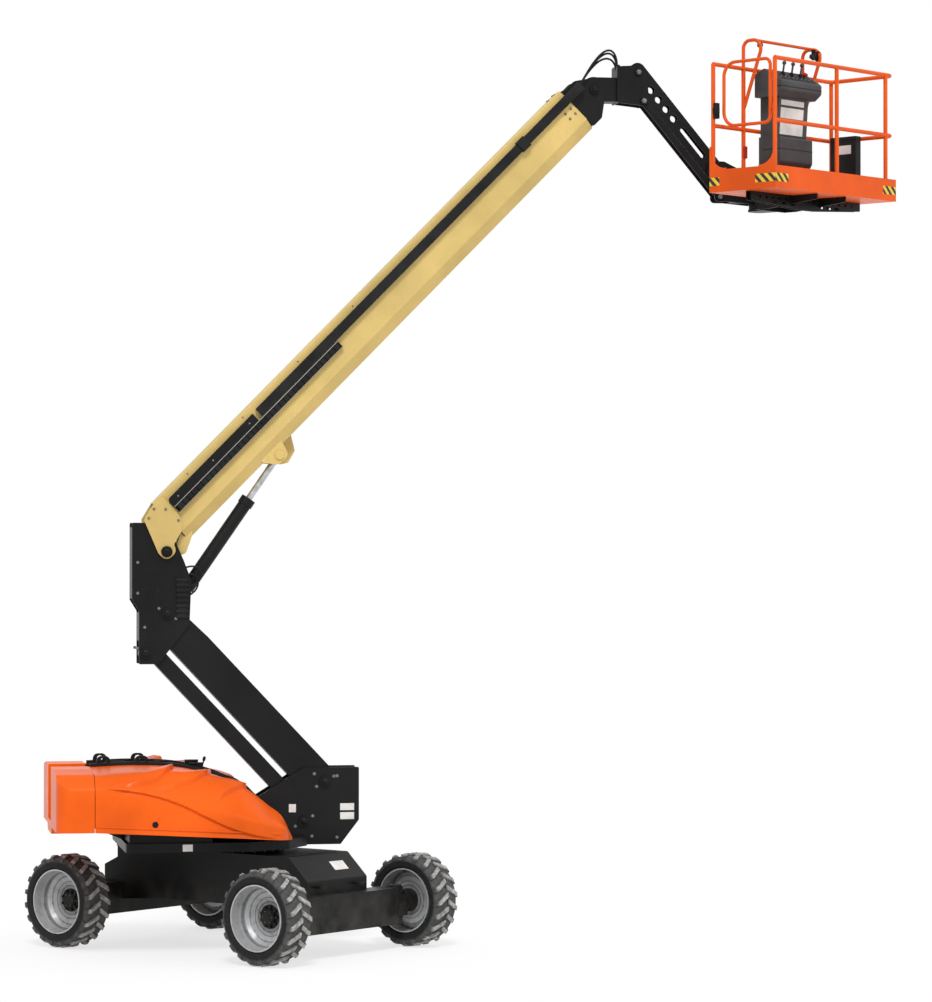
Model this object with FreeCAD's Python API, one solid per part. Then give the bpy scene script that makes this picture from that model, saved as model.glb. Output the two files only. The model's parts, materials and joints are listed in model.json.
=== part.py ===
"""Articulating boom lift: wheeled chassis, slewing turntable, riser parallelogram,
upright, telescopic upper boom, levelled jib and a turning work platform.

Millimetres, +Z up, X along the boom's plane. The machine is laid out about its slewing
axis, then set down with its origin under the centre of its bounding box.
"""

import FreeCAD
import Part

import math
import os

V = FreeCAD.Vector

# ---------------------------------------------------------------- pose of the model
CHASSIS_YAW = -48.0          # chassis under the turntable, degrees about Z
RISER_ANGLE = 133.2          # riser from +X towards +Z
BOOM_ANGLE = 45.5            # upper boom above level
JIB_ANGLE = -50.5            # jib above level
PLATFORM_YAW = 37.5          # long side of the platform from +X

# ---------------------------------------------------------------- chassis and wheels
WHEELBASE = 2340.0
TRACK = 1980.0               # between the tyres' centre planes
TYRE_RADIUS = 412.0
TYRE_WIDTH = 300.0
TREAD_DEPTH = 26.0
LUGS_PER_ROW = 20
RIM_RADIUS = 272.0
RIM_WALL = 12.0
DISH_RADIUS = 150.0
HUB_RADIUS = 102.0
HUB_BORE = 70.0
HUB_FACE = -18.0             # hub's outer face from the wheel's centre plane
NUT_COUNT = 9
NUT_RADIUS = 13.0
NUT_CIRCLE = 86.0
AXLE_HALF_DEPTH = 110.0
AXLE_BOTTOM = 225.0
AXLE_TOP = 545.0
KINGPIN_OFFSET = 255.0       # kingpin inboard of the tyre's centre plane
KINGPIN_RADIUS = 45.0
KNUCKLE_HEIGHT = 190.0
FORK_PLATE = 60.0
DRIVE_RADIUS = 98.0          # drive motor housing
FRAME_HALF_WIDTH = 400.0
FRAME_TOP = 865.0
FRAME_BOTTOM = 420.0
FRAME_NOSE_BOTTOM = 300.0
FRAME_FRONT = 1120.0
TIE_HOLE_RADIUS = 24.0
TIE_PLATE = 20.0
TIE_HEIGHT = 602.0
TIE_REACH = 80.0             # tie-down ear from the frame's end face
TIE_STATION = 40.0           # its hole from the same face
BEARING_RADIUS = 360.0
BEARING_BORE = 250.0
BEARING_HEIGHT = 40.0
SEAT_GAP = 0.3               # between faces that turn on each other

# ---------------------------------------------------------------- turntable
BASE_THICKNESS = 80.0
BASE_HALF_WIDTH = 800.0
BASE_REAR = -1080.0
PEDESTAL_STEP = 560.0        # where the base plate ends in front of the pedestal's back
SPINE_INNER = 200.0          # trough's half width
SPINE_PLATE = 15.0
SPINE_TOP = 1600.0
SPINE_FRONT = 260.0
TAIL_X = -1690.0
WEIGHT_FRONT = -1365.0
WEIGHT_BOTTOM = 1040.0
WEIGHT_TOP = 1622.0
WEIGHT_SLOT_TOP = 1150.0
HOOD_HALF_WIDTH = 1010.0
HOOD_WALL = 8.0
HOOD_INNER = 222.0           # inner edge of a hood beside the trough
HINGE_RADIUS = 11.0
HINGE_PIN = 5.0
HINGE_RISE = 38.0            # hinge line above the spine's wall
LUG_HOLE_RADIUS = 25.0
LUG_PLATE = 24.0
LUG_HEIGHT = 112.0
LUG_STATIONS = (-1235.0, -900.0)

# ---------------------------------------------------------------- riser and upright
RISER_PIN = (737.0, 1462.0)  # riser's foot pin on the pedestal, x and z
LINK_OFFSET = (-190.0, -350.0)   # link pins from the riser's pins
RISER_LENGTH = 2050.0
RISER_HALF_WIDTH = 110.0
RISER_ABOVE = 122.0          # riser's depth on the outer side of its pin line
RISER_BELOW = 195.0
RISER_TIP = 92.0             # the same at its top end
RISER_WALL = 10.0
LINK_NEAR = 249.0            # link's near and far edge from the riser's pin line
LINK_FAR = 385.0
LINK_HALF_WIDTH = 100.0
EYE_RADIUS = 62.0
PLATE_INNER = 118.0          # pedestal's and upright's cheek plates
PLATE_THICKNESS = 20.0
PIN_RADIUS = 36.0
PIN_HEAD = 20.0
PIN_CLEARANCE = 0.05
PIVOT_OFFSET = (-9.0, 545.0)     # boom pivot from the riser's top pin
LIFT_PIN_OFFSET = (177.0, -352.0)    # lift cylinder's foot from the boom pivot

# ---------------------------------------------------------------- upper boom
BOOM_LENGTH = 5430.0
BOOM_START = 220.0
BOOM_HALF_WIDTH = 146.0
BOOM_FLOOR_HALF = 70.0
BOOM_BOTTOM = -67.0
BOOM_SHOULDER = 30.0
BOOM_TOP = 385.0
BOOM_WALL = 10.0
FOOT_PLATE = 18.0
FLY_CLEARANCE = 12.0
FLY_WALL = 8.0
FLY_START = 560.0
NOSE_START = 5440.0
YOKE_PIN = (5680.0, 165.0)   # yoke pin along and above the boom's axis line
CHEEK_INNER = 97.0
CHEEK_PLATE = 18.0
TRAY_START = 330.0
TRAY_END = 2400.0
TRAY_DEPTH = 46.0
TRAY_BOTTOM = 165.0
TRAY_TOP = 232.0
TRAY_WALL = 4.0
CARRIER_END = 1400.0
TUBE_START = 1450.0
TUBE_DEPTH = 84.0
TUBE_WIDTH = 40.0
TUBE_BASE = 241.0
SLIDE_CLEARANCE = 6.0
CLAMP_STATION = 4850.0
CLAMP_LENGTH = 90.0
CLAMP_WALL = 8.0
TRACK_PITCH = 58.0
TRACK_GROOVE = 6.0
ROD_EYE = (1320.0, -118.0)   # lift cylinder's eye on the boom
BRACKET_START = 1150.0
BRACKET_END = 1430.0
BRACKET_BOTTOM = -176.0
BRACKET_INNER = 74.0
BRACKET_PLATE = 20.0
BARREL_RADIUS = 60.0
BARREL_BORE = 50.0
BARREL_LENGTH = 1000.0
ROD_RADIUS = 30.0

# ---------------------------------------------------------------- jib and platform
JIB_PIN = (3600.0, 7840.0)
JIB_LENGTH = 1110.0
JIB_HALF_DEPTH = 85.0
JIB_HALF_WIDTH = 50.0
JIB_WALL = 8.0
JIB_LINK_OFFSET = (50.0, -260.0)
JIB_LINK_HALF = 26.0
JIB_LINK_INNER = 57.0
JIB_LINK_PLATE = 12.0
JIB_CHEEK_INNER = 77.0
JIB_CHEEK_PLATE = 16.0
JIB_PIN_RADIUS = 20.0
ROTATOR_X = 4740.0
ROTATOR_RADIUS = 88.0
ROTATOR_BOTTOM = 6618.0
ROTATOR_TOP = 6940.0
PLATFORM_LENGTH = 1800.0
PLATFORM_WIDTH = 740.0
PLATFORM_BACK = 150.0        # platform's back face from the rotator's axis
PLATFORM_BOTTOM = 6700.0
SKIRT_HEIGHT = 200.0
SHEET = 4.0
RAIL_HEIGHT = 1150.0         # top rail's centre above the skirt's bottom
MID_RAIL_HEIGHT = 600.0
RAIL_RADIUS = 19.0
RAIL_BEND = 60.0


# ---------------------------------------------------------------- helpers
def box(x0, x1, y0, y1, z0, z1):
    """Box between two corners."""
    return Part.makeBox(x1 - x0, y1 - y0, z1 - z0, V(x0, y0, z0))


def rounded_wire(corners, closed=True):
    """Wire through corners (point, radius), each corner rounded by a tangent arc."""
    count = len(corners)
    spans = []
    for index, (point, radius) in enumerate(corners):
        if radius == 0 or (not closed and index in (0, count - 1)):
            spans.append((point, None, point))
            continue
        before = (corners[index - 1][0] - point).normalize()
        after = (corners[(index + 1) % count][0] - point).normalize()
        half = before.getAngle(after) / 2
        reach = radius / math.tan(half)
        middle = (before + after).normalize()
        depth = radius / math.sin(half) - radius
        spans.append((point + before * reach, point + middle * depth, point + after * reach))
    edges = []
    for index, (start, middle, end) in enumerate(spans):
        if middle is not None:
            edges.append(Part.Arc(start, middle, end).toShape())
        if index == count - 1 and not closed:
            break
        following = spans[(index + 1) % count][0]
        if (following - end).Length > 1e-6:
            edges.append(Part.LineSegment(end, following).toShape())
    return Part.Wire(edges)


def corner_list(points, to_vector):
    """Corners (a, b) or (a, b, radius) as (vector, radius) pairs."""
    return [(to_vector(p[0], p[1]), p[2] if len(p) > 2 else 0) for p in points]


def plate(points, y0, y1):
    """Outline of (x, z[, radius]) corners between two Y planes."""
    wire = rounded_wire(corner_list(points, lambda x, z: V(x, y0, z)))
    return Part.Face(wire).extrude(V(0, y1 - y0, 0))


def slab(points, z0, z1):
    """Outline of (x, y[, radius]) corners between two heights."""
    wire = rounded_wire(corner_list(points, lambda x, y: V(x, y, z0)))
    return Part.Face(wire).extrude(V(0, 0, z1 - z0))


def section(points, x0, x1):
    """Outline of (y, z[, radius]) corners between two X planes."""
    wire = rounded_wire(corner_list(points, lambda y, z: V(x0, y, z)))
    return Part.Face(wire).extrude(V(x1 - x0, 0, 0))


def cross_pin(x, z, radius, y0, y1):
    """Cylinder along Y."""
    return Part.makeCylinder(radius, y1 - y0, V(x, y0, z), V(0, 1, 0))


def upright_pin(x, y, radius, z0, z1):
    """Cylinder along Z."""
    return Part.makeCylinder(radius, z1 - z0, V(x, y, z0), V(0, 0, 1))


def rod_between(start, end, radius):
    """Round bar from one point to another."""
    return Part.makeCylinder(radius, (end - start).Length, start, end - start)


def bent_tube(corners, radius, closed=False):
    """Round bar along (point, bend radius) corners, as cylinders and torus bends."""
    pieces = []
    for edge in rounded_wire(corners, closed).Edges:
        start = edge.valueAt(edge.FirstParameter)
        end = edge.valueAt(edge.LastParameter)
        if isinstance(edge.Curve, Part.Circle):
            heading = edge.tangentAt(edge.FirstParameter)
            disc = Part.Face(Part.Wire(Part.Circle(start, heading, radius).toShape()))
            curve = edge.Curve
            axis = (start - curve.Center).cross(heading)
            turn = math.degrees(edge.Length / curve.Radius)
            pieces.append(disc.revolve(curve.Center, axis, turn))
        else:
            pieces.append(rod_between(start, end, radius))
    return fuse(pieces)


def fuse(shapes):
    """Union of several solids, with split faces merged."""
    shapes = list(shapes)
    if len(shapes) == 1:
        return shapes[0]
    return shapes[0].multiFuse(shapes[1:]).removeSplitter()


def mirrored(shape):
    """Shape on the other side of the XZ plane."""
    return shape.mirror(V(0, 0, 0), V(0, 1, 0))


def both_sides(shape):
    """Shape and its mirror image across the XZ plane."""
    return [shape, mirrored(shape)]


def tilted(shape, angle, x, z):
    """Shape modelled along +X from the origin, raised by an angle and set at (x, z)."""
    moved = shape.copy()
    moved.rotate(V(0, 0, 0), V(0, -1, 0), angle)
    moved.translate(V(x, 0, z))
    return moved


def yawed(shape, angle, x=0.0, y=0.0, z=0.0):
    """Shape turned about Z and set at a point."""
    moved = shape.copy()
    moved.rotate(V(0, 0, 0), V(0, 0, 1), angle)
    moved.translate(V(x, y, z))
    return moved


def ahead(point, length, angle):
    """Point a length away from another at an angle in the XZ plane."""
    turn = math.radians(angle)
    return (point[0] + length * math.cos(turn), point[1] + length * math.sin(turn))


def offset(point, step):
    """Point moved by a step in the XZ plane."""
    return (point[0] + step[0], point[1] + step[1])


# ---------------------------------------------------------------- pivots of the chain
LINK_PIN = offset(RISER_PIN, LINK_OFFSET)
RISER_TOP = ahead(RISER_PIN, RISER_LENGTH, RISER_ANGLE)
LINK_TOP = offset(RISER_TOP, LINK_OFFSET)
BOOM_PIVOT = offset(RISER_TOP, PIVOT_OFFSET)
LIFT_FOOT = offset(BOOM_PIVOT, LIFT_PIN_OFFSET)
JIB_LINK_PIN = offset(JIB_PIN, JIB_LINK_OFFSET)
JIB_END = ahead(JIB_PIN, JIB_LENGTH, JIB_ANGLE)
JIB_LINK_END = offset(JIB_END, JIB_LINK_OFFSET)


def on_boom(along, above):
    """Point of the boom's own frame in the machine's XZ plane."""
    return ahead(ahead(BOOM_PIVOT, along, BOOM_ANGLE), above, BOOM_ANGLE + 90)


LIFT_EYE = on_boom(*ROD_EYE)
YOKE_CENTRE = on_boom(*YOKE_PIN)
LIFT_ANGLE = math.degrees(math.atan2(LIFT_EYE[1] - LIFT_FOOT[1], LIFT_EYE[0] - LIFT_FOOT[0]))
LIFT_SPAN = math.hypot(LIFT_EYE[0] - LIFT_FOOT[0], LIFT_EYE[1] - LIFT_FOOT[1])


# ---------------------------------------------------------------- chassis
def chassis_frame():
    """Welded frame whose nose and tail rest on the two axles."""
    axle_x = WHEELBASE / 2
    bay = axle_x - AXLE_HALF_DEPTH
    body = plate([
        (-axle_x - AXLE_HALF_DEPTH, AXLE_TOP), (-axle_x - AXLE_HALF_DEPTH, 690.0),
        (-900.0, FRAME_TOP, 40), (900.0, FRAME_TOP, 30), (FRAME_FRONT, 660.0, 20),
        (FRAME_FRONT, AXLE_TOP), (bay, AXLE_TOP), (bay, FRAME_NOSE_BOTTOM),
        (800.0, FRAME_NOSE_BOTTOM, 40), (620.0, FRAME_BOTTOM, 40), (-620.0, FRAME_BOTTOM, 40),
        (-bay, 390.0), (-bay, AXLE_TOP)], -FRAME_HALF_WIDTH, FRAME_HALF_WIDTH)
    lugs = []
    for end in (1, -1):
        face = FRAME_FRONT if end > 0 else -axle_x - AXLE_HALF_DEPTH
        for y in (-TIE_SPACING / 2, TIE_SPACING / 2):
            ear = slab([(face - 5 * end, y - 55.0), (face + TIE_REACH * end, y - 45.0, 35),
                        (face + TIE_REACH * end, y + 45.0, 35), (face - 5 * end, y + 55.0)],
                       TIE_HEIGHT, TIE_HEIGHT + TIE_PLATE)
            hole = upright_pin(face + TIE_STATION * end, y, TIE_HOLE_RADIUS,
                               TIE_HEIGHT - 1, TIE_HEIGHT + TIE_PLATE + 1)
            lugs.append(ear.cut(hole))
    return fuse([body] + lugs)


def front_axle():
    """Steering axle beam with a fork at each end for the kingpin."""
    x = WHEELBASE / 2
    kingpin = TRACK / 2 - KINGPIN_OFFSET
    beam_end = kingpin - 85.0
    beam = box(x - AXLE_HALF_DEPTH, x + AXLE_HALF_DEPTH, -beam_end, beam_end,
               AXLE_BOTTOM, AXLE_TOP)
    pieces = [beam]
    for side in (1, -1):
        for z in (AXLE_BOTTOM, AXLE_TOP - FORK_PLATE):
            tongue = slab([(x - 70.0, side * (beam_end - 20)), (x + 70.0, side * (beam_end - 20)),
                           (x + 60.0, side * (kingpin + 60), 50),
                           (x - 60.0, side * (kingpin + 60), 50)], z, z + FORK_PLATE)
            pieces.append(tongue)
        pieces.append(upright_pin(x, side * kingpin, KINGPIN_RADIUS, AXLE_BOTTOM, AXLE_TOP))
    return fuse(pieces)


def rear_axle():
    """Rigid drive axle with a flange at each end."""
    x = -WHEELBASE / 2
    flange = TRACK / 2 - TYRE_WIDTH / 2 + 15.0
    beam = box(x - AXLE_HALF_DEPTH, x + AXLE_HALF_DEPTH, -flange + 70, flange - 70,
               AXLE_BOTTOM + 40, AXLE_TOP)
    housing = cross_pin(x, TYRE_RADIUS, DRIVE_RADIUS, -flange, flange)
    return fuse([beam, housing])


def swing_bearing():
    """Slewing ring on the frame."""
    ring = Part.makeCylinder(BEARING_RADIUS, BEARING_HEIGHT, V(0, 0, FRAME_TOP))
    return ring.cut(Part.makeCylinder(BEARING_BORE, BEARING_HEIGHT, V(0, 0, FRAME_TOP)))


def knuckle(side):
    """Steering knuckle between the fork plates, with the drive motor's housing."""
    x = WHEELBASE / 2
    kingpin = TRACK / 2 - KINGPIN_OFFSET
    middle = (AXLE_BOTTOM + AXLE_TOP) / 2
    z0 = middle - KNUCKLE_HEIGHT / 2
    z1 = middle + KNUCKLE_HEIGHT / 2
    face = TRACK / 2 - TYRE_WIDTH / 2 + 15.0
    block = slab([(x - 62.0, side * (kingpin - 62), 30), (x + 62.0, side * (kingpin - 62), 30),
                  (x + 80.0, side * (kingpin + 75)), (x - 80.0, side * (kingpin + 75))], z0, z1)
    low, high = sorted((side * (kingpin + 70), side * face))
    housing = cross_pin(x, TYRE_RADIUS, DRIVE_RADIUS, low, high)
    bore = upright_pin(x, side * kingpin, KINGPIN_RADIUS + PIN_CLEARANCE, z0 - 1, z1 + 1)
    return fuse([block, housing]).cut(bore)


def turned(points):
    """Solid of revolution about Y from (distance along Y, radius) corners."""
    wire = rounded_wire(corner_list(points, lambda along, radius: V(0, along, radius)))
    return Part.Face(wire).revolve(V(0, 0, 0), V(0, 1, 0), 360)


def tread_lug(row, angle):
    """One slanted lug from the tyre's middle over its shoulder."""
    sections = ((3.0, 0.0, 378.0, TYRE_RADIUS), (112.0, 9.0, 372.0, TYRE_RADIUS - 2),
                (TYRE_WIDTH / 2 - 1, 10.5, 346.0, 384.0))
    wires = []
    for along, lag, low, high in sections:
        turn = math.radians(angle + lag)
        corners = []
        for radius, reach in ((low, -25.0), (high, -19.0), (high, 19.0), (low, 25.0)):
            corners.append(V(radius * math.sin(turn) + reach * math.cos(turn), row * along,
                             radius * math.cos(turn) - reach * math.sin(turn)))
        wires.append(Part.makePolygon(corners + corners[:1]))
    return Part.makeLoft(wires, True, True)


def tyre():
    """Lugged tyre about Y, outer side towards +Y."""
    half = TYRE_WIDTH / 2
    base = TYRE_RADIUS - TREAD_DEPTH
    carcass = turned([
        (-half + 25, RIM_RADIUS + RIM_WALL + SEAT_GAP), (half - 25, RIM_RADIUS + RIM_WALL + SEAT_GAP),
        (half, RIM_RADIUS + 30), (half, base - 36), (half - 30, base), (-half + 30, base),
        (-half, base - 36), (-half, RIM_RADIUS + 30)])
    pitch = 360.0 / LUGS_PER_ROW
    lugs = []
    for index in range(LUGS_PER_ROW):
        lugs.append(tread_lug(1, index * pitch))
        lugs.append(tread_lug(-1, (index + 0.5) * pitch))
    return fuse([carcass] + lugs)


def rim():
    """Deep-dished wheel disc about Y, open towards +Y."""
    edge = TYRE_WIDTH / 2 - 8
    return turned([
        (edge, RIM_RADIUS), (edge, RIM_RADIUS + RIM_WALL), (-edge, RIM_RADIUS + RIM_WALL),
        (-edge, RIM_RADIUS), (20.0, RIM_RADIUS), (-14.0, 250.0), (-46.0, 214.0),
        (-58.0, DISH_RADIUS + 4), (-58.0, HUB_BORE), (HUB_SEAT, HUB_BORE),
        (HUB_SEAT, DISH_RADIUS), (-34.0, 208.0), (0.0, 242.0), (60.0, 262.0)])


def hub():
    """Planetary hub about Y with its ring of wheel nuts."""
    back = TYRE_WIDTH / 2 - 15.0
    drum = cross_pin(0, 0, HUB_RADIUS, -back + SEAT_GAP, -58.0 - SEAT_GAP)
    neck = cross_pin(0, 0, HUB_BORE - SEAT_GAP, -58.5, HUB_SEAT + 1)
    cap = cross_pin(0, 0, NUT_CIRCLE - NUT_RADIUS - 3, HUB_SEAT + SEAT_GAP, HUB_FACE)
    flange = cross_pin(0, 0, HUB_RADIUS, HUB_SEAT + SEAT_GAP, HUB_SEAT + 8)
    pieces = [drum, neck, cap, flange]
    for index in range(NUT_COUNT):
        turn = 2 * math.pi * index / NUT_COUNT
        pieces.append(cross_pin(NUT_CIRCLE * math.cos(turn), NUT_CIRCLE * math.sin(turn),
                                NUT_RADIUS, HUB_SEAT + 4, HUB_SEAT + 26))
    return fuse(pieces)


# ---------------------------------------------------------------- turntable
BASE_BOTTOM = FRAME_TOP + BEARING_HEIGHT + SEAT_GAP
BASE_TOP = BASE_BOTTOM + BASE_THICKNESS
CHEEK_OUTER = PLATE_INNER + PLATE_THICKNESS


def turntable_base():
    """Thick plate on the slewing ring that carries everything above."""
    return slab([
        (BASE_REAR, -BASE_HALF_WIDTH, 60), (0.0, -BASE_HALF_WIDTH, 60), (360.0, -560.0, 60),
        (PEDESTAL_STEP, -260.0, 40), (PEDESTAL_STEP, 260.0, 40), (360.0, 560.0, 60),
        (0.0, BASE_HALF_WIDTH, 60), (BASE_REAR, BASE_HALF_WIDTH, 60)], BASE_BOTTOM, BASE_TOP)


def spine():
    """Trough's two walls with the lifting lugs and the hoods' hinge barrels."""
    pieces = []
    wall = plate([
        (WEIGHT_FRONT, WEIGHT_BOTTOM + 60), (WEIGHT_FRONT, SPINE_TOP), (-380.0, SPINE_TOP, 200),
        (0.0, 1470.0, 200), (SPINE_FRONT, 1200.0, 60), (SPINE_FRONT, BASE_TOP),
        (BASE_REAR, BASE_TOP)], SPINE_INNER, SPINE_INNER + SPINE_PLATE)
    lug_y = SPINE_INNER + SPINE_PLATE / 2
    for x in LUG_STATIONS:
        ear = plate([(x - 75.0, SPINE_TOP - 30), (x - 55.0, SPINE_TOP + LUG_HEIGHT, 45),
                     (x + 55.0, SPINE_TOP + LUG_HEIGHT, 45), (x + 75.0, SPINE_TOP - 30)],
                    lug_y - LUG_PLATE / 2, lug_y + LUG_PLATE / 2)
        wall = wall.fuse(ear)
        wall = wall.cut(cross_pin(x, SPINE_TOP + LUG_HEIGHT - 42, LUG_HOLE_RADIUS,
                                  SPINE_INNER - 50, SPINE_INNER + 50))
    barrels = [hinge_barrel(start, end) for start, end in hinge_spans(0)]
    barrels += [hinge_barrel(start, end + HINGE_LEAF, HINGE_PIN) for start, end in hinge_spans(0)]
    seats = [box(start, end, SPINE_INNER, SPINE_INNER + SPINE_PLATE, SPINE_TOP - 5, HINGE_Z)
             for start, end in hinge_spans(0)]
    wall = fuse([wall] + barrels + seats)
    pieces.extend(both_sides(wall))
    pieces.append(box(WEIGHT_FRONT, WEIGHT_FRONT + 20, -SPINE_INNER - 5, SPINE_INNER + 5,
                      WEIGHT_BOTTOM + 60, WEIGHT_SLOT_TOP))
    return fuse(pieces)


HINGE_Z = SPINE_TOP + HINGE_RISE
HINGE_Y = SPINE_INNER + HINGE_RADIUS
HINGE_STARTS = (-1140.0, -760.0, -480.0)
HINGE_LEAF = 60.0


def hinge_spans(turn):
    """X ranges of the barrels: turn 0 on the spine, turn 1 on the hood."""
    spans = []
    for start in HINGE_STARTS:
        begin = start + turn * (HINGE_LEAF + SEAT_GAP)
        spans.append((begin, begin + HINGE_LEAF))
    return spans


def hinge_barrel(start, end, radius=HINGE_RADIUS):
    """Short round barrel along X on the hood's hinge line."""
    return Part.makeCylinder(radius, end - start, V(start, HINGE_Y, HINGE_Z), V(1, 0, 0))


def counterweight():
    """Cast tail block, slotted in the middle for the folded upright."""
    profile = section([
        (-HOOD_HALF_WIDTH, 1100.0), (-HOOD_HALF_WIDTH, 1475.0, 60), (-870.0, 1590.0, 80),
        (-600.0, WEIGHT_TOP), (600.0, WEIGHT_TOP), (870.0, 1590.0, 80),
        (HOOD_HALF_WIDTH, 1475.0, 60), (HOOD_HALF_WIDTH, 1100.0), (300.0, 1100.0),
        (250.0, WEIGHT_BOTTOM), (-250.0, WEIGHT_BOTTOM), (-300.0, 1100.0)],
        TAIL_X, WEIGHT_FRONT)
    plan = slab([(TAIL_X, -HOOD_HALF_WIDTH, 140), (TAIL_X, HOOD_HALF_WIDTH, 140),
                 (WEIGHT_FRONT, HOOD_HALF_WIDTH), (WEIGHT_FRONT, -HOOD_HALF_WIDTH)],
                WEIGHT_BOTTOM, WEIGHT_TOP)
    slot = box(TAIL_X - 10, WEIGHT_FRONT + 10, -SPINE_INNER, SPINE_INNER,
               WEIGHT_SLOT_TOP, WEIGHT_TOP + 10)
    return profile.common(plan).cut(slot)


HOOD_STATIONS = (
    # x, bottom, outer y, shoulder z, knee y, knee z, top z
    (-1360.0, 1100.0, 1010.0, 1475.0, 870.0, 1590.0, 1620.0),
    (-950.0, 1080.0, 1012.0, 1400.0, 860.0, 1600.0, 1632.0),
    (-500.0, 1055.0, 1000.0, 1280.0, 820.0, 1545.0, 1600.0),
    (-100.0, 1030.0, 950.0, 1160.0, 720.0, 1400.0, 1470.0),
    (200.0, 1008.0, 830.0, 1070.0, 580.0, 1195.0, 1262.0),
    (385.0, 990.0, 600.0, 1008.0, 430.0, 1030.0, 1045.0))


def hood_form(inset, drop):
    """Smooth hood body; a larger inset gives the space inside its wall."""
    wires = []
    for x, low, outer, shoulder, knee, crown, top in HOOD_STATIONS:
        reach = x
        if x == HOOD_STATIONS[0][0]:
            reach = x + inset
        if x == HOOD_STATIONS[-1][0]:
            reach = x - inset
        corners = [V(reach, HOOD_INNER - drop, low - drop), V(reach, outer - inset, low - drop),
                   V(reach, outer - inset, shoulder - inset / 2),
                   V(reach, knee - inset / 2, crown - inset),
                   V(reach, HOOD_INNER - drop, top - inset)]
        wires.append(Part.makePolygon(corners + corners[:1]))
    return Part.makeLoft(wires, True, False)


RIDGE_HEIGHT = 8.0
RIDGE_WIDTH = 30.0
RIDGE_FLOOR = 1150.0         # below the upper face, above the hood's rim
RIDGE_STARTS = (-760.0, -470.0, -180.0)


def hood_ridges():
    """Three raised chevrons stepped along the hood's upper face."""
    skin = hood_form(-RIDGE_HEIGHT, 0.0).cut(hood_form(HOOD_WALL / 2, 0.0))
    ridges = []
    for index, x in enumerate(RIDGE_STARTS):
        bend = 640.0 - 70.0 * index
        width = RIDGE_WIDTH
        plan = slab([
            (x, 300.0), (x - 190, bend, 30), (x + 60, bend + 45 - 40 * index),
            (x + 60, bend + 45 + width - 40 * index), (x - 190 - 1.3 * width, bend + 0.6 * width, 30),
            (x - 1.3 * width, 300.0)], RIDGE_FLOOR, 1700.0)
        ridges.append(skin.common(plan))
    return ridges


def hood():
    """Moulded hood on the +Y side, open below and towards the trough."""
    shell = hood_form(0.0, 0.0).cut(hood_form(HOOD_WALL, 60.0))
    leaves = []
    for start, end in hinge_spans(1):
        leaves.append(hinge_barrel(start, end))
        leaves.append(box(start, end, HINGE_Y, HOOD_INNER + 4, HINGE_Z - 4, HINGE_Z + 6))
        leaves.append(box(start, end, HOOD_INNER, HOOD_INNER + 10, HINGE_Z - 62, HINGE_Z + 6))
    lid = fuse([shell] + leaves + hood_ridges())
    for start, end in hinge_spans(1):
        lid = lid.cut(hinge_barrel(start - 1, end + 1, HINGE_PIN + PIN_CLEARANCE))
    return lid


def bay_block(y0, y1, top):
    """Plain block for the machinery under a hood."""
    return box(-1050.0, -330.0, y0, y1, BASE_TOP, top)


def pedestal():
    """Two cheek plates that carry the riser and its link, joined across."""
    cheek = plate([
        (-250.0, BASE_TOP), (-250.0, 1090.0), (545.0, 1588.0, 20), (1040.0, 1588.0, 12),
        (1040.0, 1120.0, 30), (875.0, 905.0), (PEDESTAL_STEP, 905.0),
        (PEDESTAL_STEP, BASE_TOP)], PLATE_INNER, CHEEK_OUTER)
    front = box(1020.0, 1040.0, -PLATE_INNER, PLATE_INNER, 1130.0, 1560.0)
    toe = plate([(1040.0, 1120.0), (875.0, 905.0), (850.0, 905.0), (1015.0, 1120.0)],
                -PLATE_INNER, PLATE_INNER)
    floor = box(PEDESTAL_STEP, 860.0, -PLATE_INNER, PLATE_INNER, 905.0, 925.0)
    pieces = both_sides(cheek) + [front, toe, floor]
    for x, z in (RISER_PIN, LINK_PIN):
        pieces.extend(headed_pin(x, z, PIN_RADIUS, CHEEK_OUTER))
    return fuse(pieces)


def headed_pin(x, z, radius, reach):
    """Cross pin with a wider head on each outer face."""
    heads = both_sides(cross_pin(x, z, radius + 14, reach - 1, reach + PIN_HEAD))
    return [cross_pin(x, z, radius, -reach, reach)] + heads


# ---------------------------------------------------------------- riser and upright
RISER_END = 100.0


def riser():
    """Box-section riser arm, bored at both ends."""
    outline = [(-RISER_END, -RISER_ABOVE, 50), (RISER_LENGTH - 400, -RISER_ABOVE),
               (RISER_LENGTH + RISER_END, -RISER_TIP, 50),
               (RISER_LENGTH + RISER_END, RISER_BELOW, 70), (-RISER_END, RISER_BELOW, 70)]
    body = plate(outline, -RISER_HALF_WIDTH, RISER_HALF_WIDTH)
    inside = plate([(120.0, -RISER_ABOVE + RISER_WALL), (RISER_LENGTH - 400, -RISER_ABOVE + RISER_WALL),
                    (RISER_LENGTH - 120, -RISER_TIP), (RISER_LENGTH - 120, RISER_BELOW - RISER_WALL),
                    (120.0, RISER_BELOW - RISER_WALL)],
                   -RISER_HALF_WIDTH + RISER_WALL, RISER_HALF_WIDTH - RISER_WALL)
    body = body.cut(inside)
    for x in (0.0, RISER_LENGTH):
        body = body.cut(cross_pin(x, 0, PIN_RADIUS + PIN_CLEARANCE, -200, 200))
    return tilted(body, RISER_ANGLE, *RISER_PIN)


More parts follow.
